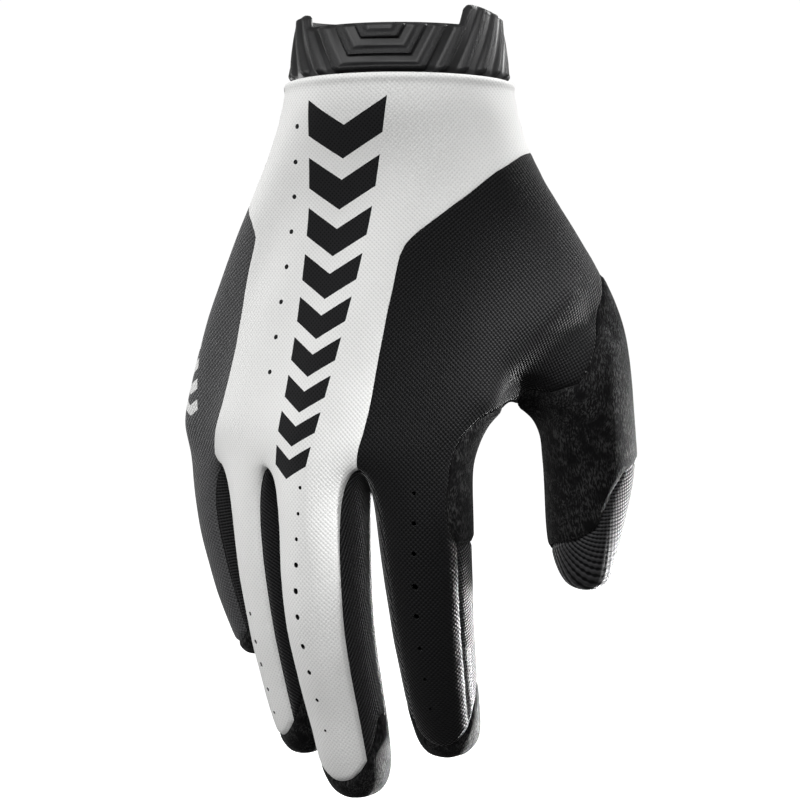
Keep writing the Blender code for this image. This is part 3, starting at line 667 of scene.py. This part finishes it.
class Skin:
    # the skin as arrays, cut along seams so that every seam is a line of edges
    def __init__(self, points, marks, tris):
        self.points, self.marks, self.tris = points, marks, tris
        self.sides = {}
        self.locked = np.zeros(len(points), bool)

    def edges(self):
        pairs = np.sort(self.tris[:, [[0, 1], [1, 2], [2, 0]]], axis=2).astype(np.int64)
        keys, slots = np.unique(pairs[..., 0] * len(self.points) + pairs[..., 1], return_inverse=True)
        return np.stack([keys // len(self.points), keys % len(self.points)], 1), slots.reshape(-1, 3)

    def split(self, ends, slots, share):
        # share is how far along each edge to split it, or nan
        marked = ~np.isnan(share)
        number = np.full(len(ends), -1)
        number[marked] = len(self.points) + np.arange(marked.sum())
        a, b, s = ends[marked, 0], ends[marked, 1], share[marked, None]
        self.points = np.vstack([self.points, self.points[a] * (1 - s) + self.points[b] * s])
        self.marks = np.vstack([self.marks, self.marks[a] * (1 - s) + self.marks[b] * s])
        self.locked = np.append(self.locked, self.locked[a] & self.locked[b])
        cuts, tris = number[slots], self.tris
        many = (cuts >= 0).sum(1)
        kept = [tris[many == 0]]
        parents = [np.where(many == 0)[0]]
        for k in range(3):
            order = [k, (k + 1) % 3, (k + 2) % 3]
            one = np.where((many == 1) & (cuts[:, k] >= 0))[0]
            v, c = tris[one][:, order].T, cuts[one][:, order].T
            kept += [np.stack(t, 1) for t in ((v[0], c[0], v[2]), (c[0], v[1], v[2]))]
            parents += [one] * 2
            two = np.where((many == 2) & (cuts[:, (k + 2) % 3] < 0))[0]
            v, c = tris[two][:, order].T, cuts[two][:, order].T
            kept += [np.stack(t, 1) for t in ((c[0], v[1], c[1]), (v[0], c[0], c[1]), (v[0], c[1], v[2]))]
            parents += [two] * 3
        three = np.where(many == 3)[0]
        v, c = tris[three].T, cuts[three].T
        kept += [np.stack(t, 1) for t in ((v[0], c[0], c[2]), (c[0], v[1], c[1]), (c[2], c[1], v[2]),
                                          tuple(c))]
        parents += [three] * 4
        self.tris, parents = np.vstack(kept), np.concatenate(parents)
        self.sides = {name: side[parents] for name, side in self.sides.items()}

    def centres(self):
        return placesOf(self.marks[self.tris].mean(1))

    def drop(self, unwanted):
        self.tris = self.tris[~unwanted]
        self.sides = {name: side[~unwanted] for name, side in self.sides.items()}

    def weld(self):
        # points that slid to one place become one, and triangles that this closes go
        _, first, number = np.unique(np.round(self.points, 6), axis=0, return_index=True,
                                     return_inverse=True)
        self.tris = first[number.ravel()[self.tris]]
        a, b, c = self.tris.T
        self.drop((a == b) | (b == c) | (c == a))

    def refine(self, wanted):
        ends, slots = self.edges()
        share = np.full(len(ends), np.nan)
        share[np.unique(slots[wanted])] = 0.5
        self.split(ends, slots, share)

    def cut(self, name, measure, wanted=None, slide=0.35):
        values = measure(self)
        ends, slots = self.edges()
        inside = np.ones(len(self.tris), bool) if wanted is None else wanted
        active = np.zeros(len(ends), bool)
        active[np.unique(slots[inside])] = True
        border = np.bincount(slots.ravel(), minlength=len(ends)) == 1
        held = self.locked.copy()
        held[ends[border].ravel()] = True
        first, second = values[ends[:, 0]], values[ends[:, 1]]
        crossing = active & (first * second < 0)
        share = np.where(crossing, first / np.where(crossing, first - second, 1), np.nan)
        # points near the seam slide onto it, the nearest last so that it wins
        at = np.where(crossing)[0]
        moves = np.concatenate([np.stack([ends[at, 0], ends[at, 1], share[at]], 1),
                                np.stack([ends[at, 1], ends[at, 0], 1 - share[at]], 1)])
        near = moves[:, 0].astype(int)
        moves = moves[(moves[:, 2] < slide) & ~held[near]]
        moves = moves[np.argsort(-moves[:, 2], kind="stable")]
        best = {int(a): (int(b), s) for a, b, s in moves}
        if best:
            a = np.array(list(best))
            b, s = (np.array(x) for x in zip(*best.values()))
            self.points[a], self.marks[a] = (x[a] * (1 - s[:, None]) + x[b] * s[:, None]
                                             for x in (self.points.copy(), self.marks.copy()))
            values[a] = 0.0
        first, second = values[ends[:, 0]], values[ends[:, 1]]
        crossing = active & (first * second < 0)
        share = np.where(crossing, first / np.where(crossing, first - second, 1), np.nan)
        count = len(self.points)
        self.split(ends, slots, share)
        values = np.append(values, np.zeros(len(self.points) - count))
        self.locked[values == 0] = True
        self.sides[name] = np.sign(values[self.tris].sum(1))


# Seams of the panels, as the glove's own tables. Each pair is the way down or round, and the edge there.
seams = {
    "outer": ((0.29, -0.60), (0.33, 0.35), (0.36, 0.95), (0.40, 1.42), (0.43, 1.54), (0.50, 1.72),
              (0.60, 2.02), (0.70, 2.26), (0.80, 2.36), (0.86, 2.40), (0.90, 2.36), (0.95, 2.20),
              (1.00, 2.00), (2.00, 2.00)),
    "inner": ((0.18, 8.60), (0.20, 7.75), (0.22, 7.30), (0.25, 6.72), (0.28, 6.40), (0.34, 5.90),
              (0.38, 5.64), (0.41, 5.45), (0.44, 5.36), (0.47, 5.37), (0.55, 5.52), (0.68, 5.69),
              (0.78, 5.80), (0.86, 5.90), (0.94, 6.00), (2.00, 6.00)),
    "outerEdge": ((0.0, 0.10), (0.26, 0.10), (0.34, -0.25), (2.0, -0.25)),
    "indexEdge": ((0.0, 0.00), (0.83, 0.00), (0.864, 0.23), (0.90, 0.41), (0.94, 0.50), (1.06, 0.52),
                  (1.14, 0.58), (1.22, 0.54), (1.26, 0.42), (1.44, 0.41), (2.0, 0.42)),
    "indexFarEdge": ((0.0, 0.00), (0.83, 0.00), (0.90, -0.45), (2.0, -0.45)),
    "gussetLift": 0.40, "patchEnd": 1.265, "tip": 1.92, "tipRounding": 0.17,
    "thumb": ((0, 0.95), (45, 1.56), (75, 1.92), (90, 2.06), (125, 1.88), (155, 1.40), (180, 1.15),
              (270, 0.85), (360, 0.95)),
    "thumbTip": ((0, 3.80), (45, 4.00), (62, 4.40), (78, 5.30), (110, 5.60), (170, 5.75), (270, 6.30),
                 (335, 4.30), (360, 3.80)),
}


def read(table, at):
    return np.interp(at, *zip(*table))


def edgeMeasure(skin, gusset, indexEdge):
    p = placesOf(skin.marks)
    outer, index = read(seams["outerEdge"], p.down), read(seams[indexEdge], p.down)
    nearLittle = outer + (gusset - outer) * np.clip((p.column - 0.75) * 2, 0, 1)
    nearIndex = gusset + (index - gusset) * np.clip((p.column - 6.75) * 2, 0, 1)
    return p.lift - np.where(p.column < 4, nearLittle, nearIndex)


def seamMeasure(field, table, by):
    def measure(skin):
        p = placesOf(skin.marks)
        return getattr(p, field) - read(table, getattr(p, by))
    return measure


def cutSeams(skin):
    gusset = seams["gussetLift"]
    c = skin.centres()
    skin.cut("thumb", seamMeasure("reach", seams["thumb"], "turn"), c.reach > -0.9)
    c = skin.centres()
    skin.cut("thumbTip", seamMeasure("reach", seams["thumbTip"], "turn"), c.reach > 2.5)
    skin.cut("tip", lambda s: s.marks[:, 2] - seams["tip"]
             + seams["tipRounding"] * (1 - np.clip(s.marks[:, 1], 0, 1)) ** 2)
    plain = (skin.sides["thumb"] < 0) & (skin.sides["tip"] < 0)
    skin.cut("back", lambda s: edgeMeasure(s, gusset, "indexEdge"), plain)
    plain = (skin.sides["thumb"] < 0) & (skin.sides["tip"] < 0)
    skin.cut("palm", lambda s: edgeMeasure(s, -gusset, "indexFarEdge"), plain & (skin.sides["back"] < 0))
    c, above = skin.centres(), skin.sides["back"] > 0
    skin.cut("outer", seamMeasure("column", seams["outer"], "down"), above & (c.column < 5) & (c.down < 1.1))
    c, above = skin.centres(), skin.sides["back"] > 0
    skin.cut("inner", seamMeasure("column", seams["inner"], "down"),
             above & (c.column > 3) & (c.down < 1.1) & (skin.sides["thumb"] < 0))
    between = (skin.sides["back"] < 0) & (skin.sides["palm"] > 0)
    skin.cut("patchEnd", lambda s: s.marks[:, 2] - seams["patchEnd"], between & (skin.centres().column > 7))


def panelsOf(skin):
    # the panel of every triangle
    side, c = skin.sides, skin.centres()
    back, between = side["back"] > 0, (side["back"] < 0) & (side["palm"] > 0) & (c.column > 1)
    rules = (
        (side["thumbTip"] > 0, "thumbTip"), (side["thumb"] > 0, "thumbPanel"), (side["tip"] > 0, "palmPanel"),
        (back & (side["outer"] < 0), "outerPanel"), (back & (side["inner"] < 0), "backPanel"),
        (back, "indexPanel"),
        (between & (c.column > 7) & (side["patchEnd"] < 0), "indexPatch"),
        (between & (c.column > 7), "indexSideStrip"), (between & (c.column < 3), "gussetLittleRing"),
        (between & (c.column < 5), "gussetRingMiddle"), (between, "gussetMiddleIndex"),
    )
    return np.select([rule for rule, _ in rules], [name for _, name in rules], "palmPanel")


def joinedStrays(skin, owner, smallest=60):
    # a few triangles cut off from their panel go to the panel round them
    owner = owner.astype("U24")
    ends, slots = skin.edges()
    sharing = [[] for _ in ends]
    for number, row in enumerate(slots.tolist()):
        for slot in row:
            sharing[slot].append(number)
    seen = np.zeros(len(owner), bool)
    for start in range(len(owner)):
        if seen[start]:
            continue
        group, around, seen[start] = [start], [], True
        for number in group:
            for slot in slots[number]:
                for other in sharing[slot]:
                    if owner[other] != owner[start]:
                        around.append(owner[other])
                    elif not seen[other]:
                        seen[other] = True
                        group.append(other)
        if len(group) < smallest and around:
            owner[group] = max(set(around), key=around.count)
    return owner


# Soft hollows and ridges: height and width in millimetres, whether only on the back, then the line
# each follows as seen from the front
forms = {
    "thumbHollow": (-4.6, 8.5, True, ((56, -84), (45, -95), (36, -103))),
    "indexRidge": (1.2, 6.0, True, ((47, -79), (35, -89), (26, -106))),
    "thumbArch": (-1.7, 5.5, False, ((37, -113), (40, -114))),
    "indexArch": (-0.9, 5.0, False, ((26, -115), (26, -116))),
}


def shaped(points, normals):
    facing = np.clip(-normals[:, 1] * 2, 0, 1)
    seen = points[:, [0, 2]] * 1000
    for height, width, backOnly, line in forms.values():
        nearest = np.full(len(points), 1e3)
        for a, b in zip(np.array(line[:-1], float), np.array(line[1:], float)):
            share = np.clip(((seen - a) @ (b - a)) / ((b - a) @ (b - a)), 0, 1)
            nearest = np.minimum(nearest, np.linalg.norm(seen - a - share[:, None] * (b - a), axis=1))
        rise = height / 1000 * np.exp(-(nearest / width) ** 2) * (facing if backOnly else 1)
        points = points + normals * rise[:, None]
    return points


def buildSkin(level):
    cage = Cage()
    rings, webs = addHand(cage)
    for number, row in enumerate(fingers.values()):
        addFinger(cage, number, row, rings[-1], webs)
    addThumb(cage, rings)
    points, quads = smoothed(cage.points, cage.faces, level)
    near, _ = smoothed([f[:3] for f in cage.fields], cage.faces, level)
    far, _ = smoothed([f[3:] for f in cage.fields], cage.faces, level)
    tris = np.vstack([quads[:, [0, 1, 2]], quads[:, [0, 2, 3]]])
    if (crossed(points, tris) * points[tris[:, 0]]).sum() < 0:
        tris = tris[:, ::-1]
    points = shaped(points, pointNormals(points, tris))
    return Skin(points, np.hstack([near, far, pointNormals(points, tris)]), tris)


# Ventilation holes down three fingers: column and way down, then radius in millimetres
holes = {
    "middle": ((5.05, 1.08, 0.48), (5.00, 1.15, 0.48), (4.93, 1.22, 0.56), (4.88, 1.29, 0.72),
               (4.81, 1.36, 0.84), (4.79, 1.43, 0.80), (4.82, 1.51, 0.76), (4.87, 1.58, 0.70),
               (4.91, 1.66, 0.56), (4.94, 1.75, 0.42)),
    "index": ((7.00, 1.10, 0.56), (6.93, 1.19, 0.66), (6.86, 1.28, 0.72), (6.80, 1.38, 0.94),
              (6.76, 1.47, 0.84), (6.74, 1.57, 0.66), (6.76, 1.67, 0.60), (6.79, 1.77, 0.48)),
    "ring": ((3.25, 1.50, 0.60), (3.25, 1.59, 0.66), (3.25, 1.665, 0.66), (3.25, 1.75, 0.60),
             (3.25, 1.83, 0.50)),
}


def punch(skin):
    spots = np.array([spot for row in holes.values() for spot in row])
    radius = spots[:, 2] / 1000

    def away(points):
        return np.linalg.norm(points[:, None] - centres, axis=2) - radius

    for _ in range(4):  # finer triangles near each hole, whose middle then lies more exactly
        back = skin.marks[skin.marks[:, 1] > 0.5]
        places = skin.points[skin.marks[:, 1] > 0.5]
        centres = np.array([places[np.argmin(np.hypot(back[:, 0] - column, (back[:, 2] - down) * 8))]
                            for column, down, _ in spots])
        corners = skin.points[skin.tris]
        size = np.linalg.norm(corners[:, 1] - corners[:, 0], axis=1)
        skin.refine(((away(corners.mean(1)) < size[:, None]) & (size[:, None] > radius * 0.42)).any(1))
    near = away(skin.points[skin.tris].mean(1)).min(1) < 0.0006
    skin.cut("hole", lambda s: away(s.points).min(1), near)
    skin.drop(away(skin.points[skin.tris].mean(1)).min(1) < 0)


addCamera()
addLamps()
addStage()
report("stage")
skin = buildSkin(4)
report("skin")
cutSeams(skin)
punch(skin)
skin.weld()
owner = joinedStrays(skin, panelsOf(skin))
report("seams")


def gather(points):
    tree = kdtree.KDTree(len(points))
    for i, point in enumerate(points):
        tree.insert(point, i)
    tree.balance()
    return tree


def distances(points, targets, beyond=0.02):
    if not len(targets):
        return np.full(len(points), beyond)
    tree = gather(targets)
    return np.array([tree.find(point)[2] for point in points])


# Panels: the finish, wall and how far each stands proud of the skin, in metres
panels = {
    "backPanel": ("back_panel", "white_knit", whiteKnit, 0.0012, 0.0),
    "indexPanel": ("index_panel", "black_knit", blackKnit, 0.0012, 0.0),
    "outerPanel": ("outer_panel", "black_knit", outerKnit, 0.0012, 0.0),
    "gussetLittleRing": ("gusset_little_ring", "grey_knit", ribKnit, 0.0012, -0.0002),
    "gussetRingMiddle": ("gusset_ring_middle", "grey_knit", ribKnit, 0.0012, -0.0002),
    "gussetMiddleIndex": ("gusset_middle_index", "grey_knit", ribKnit, 0.0012, -0.0002),
    "indexSideStrip": ("index_side_strip", "grey_knit", gripKnit, 0.0012, -0.0002),
    "indexPatch": ("index_patch", "black_suede", suede, 0.0014, 0.0005),
    "palmPanel": ("palm_panel", "black_suede", suede, 0.0014, 0.0),
    "thumbPanel": ("thumb_panel", "black_suede", suede, 0.0014, 0.0005),
    "thumbTip": ("thumb_tip", "grey_knit", thumbKnit, 0.0012, -0.0001),
}
# Seams between two of these are printed or laid flat, and the rest are sewn
flatSeams = ({"backPanel", "indexPanel"}, {"backPanel", "outerPanel"})
relief = {
    "sewnDip": 0.00060, "sewnWidth": 0.0008, "flatDip": 0.00010, "flatWidth": 0.0004,
    "hemRoll": 0.00045, "hemWidth": 0.0011, "hemEdge": 0.0006, "hemEdgeWidth": 0.0003,
    "gap": 0.00005, "cloth": 0.00022, "clothLength": 0.013, "pucker": 0.00010, "puckerLength": 0.0032,
    "puckerReach": 0.0028,
}


def seamPoints(skin, owner):
    # points on seams by kind, from the edges between two panels
    ends, slots = skin.edges()
    names = np.unique(owner)
    number = np.searchsorted(names, owner)
    low = np.full(len(ends), len(names))
    high = np.full(len(ends), -1)
    for k in range(3):
        np.minimum.at(low, slots[:, k], number)
        np.maximum.at(high, slots[:, k], number)
    flat = np.zeros(len(ends), bool)
    for pair in flatSeams:
        a, b = sorted(np.searchsorted(names, sorted(pair)))
        flat |= (low == a) & (high == b)
    seam = low != high
    return skin.points[np.unique(ends[seam & ~flat])], skin.points[np.unique(ends[flat])]


def flattened(points, tris, normals):
    # the panel laid flat, in millimetres, turned so that it hangs as it does on the glove
    mesh = bpy.data.meshes.new("cutting")
    mesh.from_pydata(points.tolist(), [], tris.tolist())
    cutting = bpy.data.objects.new("cutting", mesh)
    bpy.context.scene.collection.objects.link(cutting)
    mesh.uv_layers.new(name="flat")
    bpy.context.view_layer.objects.active = cutting
    cutting.select_set(True)
    bpy.ops.object.mode_set(mode="EDIT")
    bpy.ops.mesh.select_all(action="SELECT")
    bpy.ops.uv.unwrap(method="ANGLE_BASED", margin=0)
    bpy.ops.object.mode_set(mode="OBJECT")
    corner = np.empty(len(mesh.loops) * 2)
    mesh.uv_layers["flat"].uv.foreach_get("vector", corner)
    vertex = np.empty(len(mesh.loops), np.int32)
    mesh.loops.foreach_get("vertex_index", vertex)
    flat = np.zeros((len(points), 2))
    flat[vertex] = corner.reshape(-1, 2)
    bpy.data.objects.remove(cutting)
    bpy.data.meshes.remove(mesh)
    facing = normals.mean(0) * (1, 1, 0)
    facing /= np.linalg.norm(facing)
    across = np.cross(facing, (0, 0, 1))
    target = np.stack([-points @ across, -points[:, 2]], 1) * 1000
    weight = np.clip(normals @ facing, 0, 1)[:, None] ** 2
    middle, aim = (flat * weight).sum(0) / weight.sum(), (target * weight).sum(0) / weight.sum()
    u, _, v = np.linalg.svd(((flat - middle) * weight).T @ (target - aim))
    real = np.linalg.norm(crossed(points, tris), axis=1).sum() * 1e6
    drawn = np.abs(np.cross(flat[tris[:, 1]] - flat[tris[:, 0]], flat[tris[:, 2]] - flat[tris[:, 0]])).sum()
    return (flat - middle) @ (u @ v) * math.sqrt(real / drawn) + aim


def clothNoise(points, length):
    return np.array([noise.noise(Vector(p) / length) for p in points])


def borderOf(tris):
    # directed border edges of a panel
    directed = tris[:, [[0, 1], [1, 2], [2, 0]]].reshape(-1, 2).astype(np.int64)
    top = directed.max() + 1
    keys = directed[:, 0] * top + directed[:, 1]
    return directed[~np.isin(keys, directed[:, 1] * top + directed[:, 0])]


def addPanel(name, skin, owner, sewn, flat):
    node, slot, finish, wall, proud = panels[name]
    tris = skin.tris[owner == name]
    used, tris = np.unique(tris, return_inverse=True)
    tris = tris.reshape(-1, 3)
    points, marks = skin.points[used], skin.marks[used]
    normals = marks[:, 6:9] / np.linalg.norm(marks[:, 6:9], axis=1)[:, None]
    border = borderOf(tris)
    # draw the border back by half the gap, along the skin
    inward = np.zeros_like(points)
    edge = points[border[:, 1]] - points[border[:, 0]]
    push = np.cross(normals[border].mean(1), edge)
    push /= np.maximum(np.linalg.norm(push, axis=1), 1e-9)[:, None]
    for k in range(2):
        np.add.at(inward, border[:, k], push)
    length = np.linalg.norm(inward, axis=1)
    moved = (length > 1e-6) & (np.abs(points[:, 2] - hand["hemZ"]) > 1e-5)
    points = points + np.where(moved, relief["gap"] / np.maximum(length, 1e-9), 0)[:, None] * inward
    fromSewn, fromFlat = distances(points, sewn), distances(points, flat)
    offset = proud - relief["sewnDip"] * np.exp(-(fromSewn / relief["sewnWidth"]) ** 2)
    offset -= relief["flatDip"] * np.exp(-(fromFlat / relief["flatWidth"]) ** 2)
    below = hand["hemZ"] - points[:, 2]
    offset += relief["hemRoll"] * np.exp(-(below / relief["hemWidth"] - 1) ** 2)
    offset -= relief["hemEdge"] * np.exp(-(below / relief["hemEdgeWidth"]) ** 2)
    offset += relief["cloth"] * clothNoise(points, relief["clothLength"])
    offset += (relief["pucker"] * np.exp(-fromSewn / relief["puckerReach"])
               * clothNoise(points, relief["puckerLength"]))
    outer = points + normals * offset[:, None]
    inner = points - normals * wall
    count = len(points)
    faces = tris.tolist() + (tris[:, ::-1] + count).tolist()
    faces += np.stack([border[:, 1], border[:, 0], border[:, 0] + count, border[:, 1] + count], 1).tolist()
    mesh = bpy.data.meshes.new(name)
    mesh.from_pydata(np.vstack([outer, inner]).tolist(), [], faces)
    cloth = np.zeros((count, 3))
    if slot != "black_suede":
        cloth[:, :2] = flattened(points, tris, normals)
    inside = cloth + (0, 0, wall * 1000)
    for label, values in (("cloth", [cloth, inside]), ("place", [marks[:, :3]] * 2)):
        layer = mesh.attributes.new(label, "FLOAT_VECTOR", "POINT")
        layer.data.foreach_set("vector", np.vstack(values).astype(np.float32).ravel())
    mesh.shade_smooth()
    mesh.set_sharp_from_angle(angle=math.radians(60))
    if finish.__name__ not in finishes:
        finishes[finish.__name__] = finish()
    mesh.materials.append(finishes[finish.__name__])
    piece = bpy.data.objects.new(name, mesh)
    bpy.context.scene.collection.objects.link(piece)
    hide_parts(node)
    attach(piece, "root")
    return piece


finishes = {}
sewn, flat = seamPoints(skin, owner)
for name in panels:
    addPanel(name, skin, owner, sewn, flat)
    report(name)

# Moulded cuff: nested trapezoids on the back that open upward, and slanted ribs all round
cuff = {
    "height": 0.014, "backTop": -0.004, "taper": 0.94, "wall": 0.0017, "flange": 0.0014,
    "columns": 540, "rows": 56, "innerRows": 10,
    "top": ((0, 0.30), (22, 0.36), (42, 0.42), (46, 0.41), (49, 0.33), (53, 0.02), (55, 0.0), (149, 0.0),
            (151, 0.03), (154, 0.22), (157, 0.28), (162, 0.30), (180, 0.30), (270, 0.45), (345, 0.32),
            (360, 0.30)),
    # relief in millimetres: depth of each step, pitch, slope and lead of their arms, middle of the
    # nest and height. The face is flat to the first share of a step and full height from the second.
    "depth": 4.6, "pitch": 6.4, "slope": 0.58, "nestAt": -5.9, "armLead": 1.9, "stepHeight": 1.1,
    "rise": (0.34, 0.72), "fall": (0.90, 0.98), "inset": 0.0014, "footInset": 0.0006,
    "footFade": (0.0004, 0.0028),
}


def softStep(low, high, value):
    t = np.clip((value - low) / (high - low), 0, 1)
    return t * t * (3 - 2 * t)


def cuffSteps(way, below):
    # 1 on the raised part of each step, by the way round from the middle of the back and the depth
    # below the top, both in millimetres
    side = np.abs(way - cuff["nestAt"])
    nest = np.maximum(below / cuff["depth"], (side + cuff["slope"] * below - cuff["armLead"]) / cuff["pitch"])
    part = nest % 1
    return softStep(*cuff["rise"], part) * (1 - softStep(*cuff["fall"], part))


def addCuff():
    drawIn = (2 * math.cos(math.pi / 10) + 4) / 6
    left, right = hand["rings"][0][1:3]
    halfWidth = (right - left) * hand["palmWidth"] / 2 * drawIn
    halfDepth = hand["wristDepth"] / 2 * drawIn
    middle = (left + right) * hand["palmWidth"] / 2
    count = cuff["columns"]
    turn = 360 * np.arange(count) / count
    angle = np.radians(turn)
    top = cuff["backTop"] + read(cuff["top"], turn) * cuff["height"]
    stepX, stepY = -halfWidth * np.sin(angle), halfDepth * np.cos(angle)
    stretch = np.hypot(stepX, stepY) * (angle[1] - angle[0]) * 1000
    way = np.cumsum(stretch)
    way = np.interp(90, turn, way) - way
    way = np.where(way < -stretch.sum() / 2, way + stretch.sum(), way)
    foot = hand["hemZ"] - 0.0006
    rows, steps = [], []

    def ring(z, inset, lift=0.0, step=0.0):
        taper = 1 + (cuff["taper"] - 1) * (z - hand["hemZ"]) / cuff["height"]
        rows.append(np.stack([middle + (halfWidth * taper - inset + lift) * np.cos(angle),
                              -(halfDepth * taper - inset + lift) * np.sin(angle), z + 0 * angle], 1))
        steps.append(step + 0 * angle)

    ring(foot - 0 * top, cuff["footInset"])
    for k in range(cuff["rows"]):
        share = k / (cuff["rows"] - 1)
        z = foot + (top - foot) * share
        edge = softStep(0.0, 0.0010, top - z) * softStep(*cuff["footFade"], z - foot)
        below = (cuff["backTop"] - z) * 1000
        step = cuffSteps(way, below) * edge
        ring(z, cuff["inset"], step * cuff["stepHeight"] / 1000 - (1 - edge) * 0.0004, step)
    for k in range(cuff["innerRows"]):
        share = k / (cuff["innerRows"] - 1)
        edge = 0.0005 if k == 0 else 0.0
        ring(top - edge * 0.2 + (foot - top) * share, cuff["wall"] + cuff["flange"] - edge)
    points = np.vstack(rows)
    at = np.arange(count)
    after = (at + 1) % count
    faces = [np.stack([k * count + at, k * count + after, (k + 1) * count + after, (k + 1) * count + at], 1)
             for k in range(len(rows) - 1)]
    last = (len(rows) - 1) * count
    faces.append(np.stack([last + at, last + after, after, at], 1))
    mesh = bpy.data.meshes.new("wristCuff")
    mesh.from_pydata(points.tolist(), [], np.vstack(faces)[:, ::-1].tolist())
    layer = mesh.attributes.new("step", "FLOAT", "POINT")
    layer.data.foreach_set("value", np.concatenate(steps).astype(np.float32))
    mesh.shade_smooth()
    mesh.set_sharp_from_angle(angle=math.radians(60))
    mesh.materials.append(rubber())
    piece = bpy.data.objects.new("wristCuff", mesh)
    bpy.context.scene.collection.objects.link(piece)
    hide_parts("wrist_cuff")
    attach(piece, "root")


addCuff()
report("cuff")
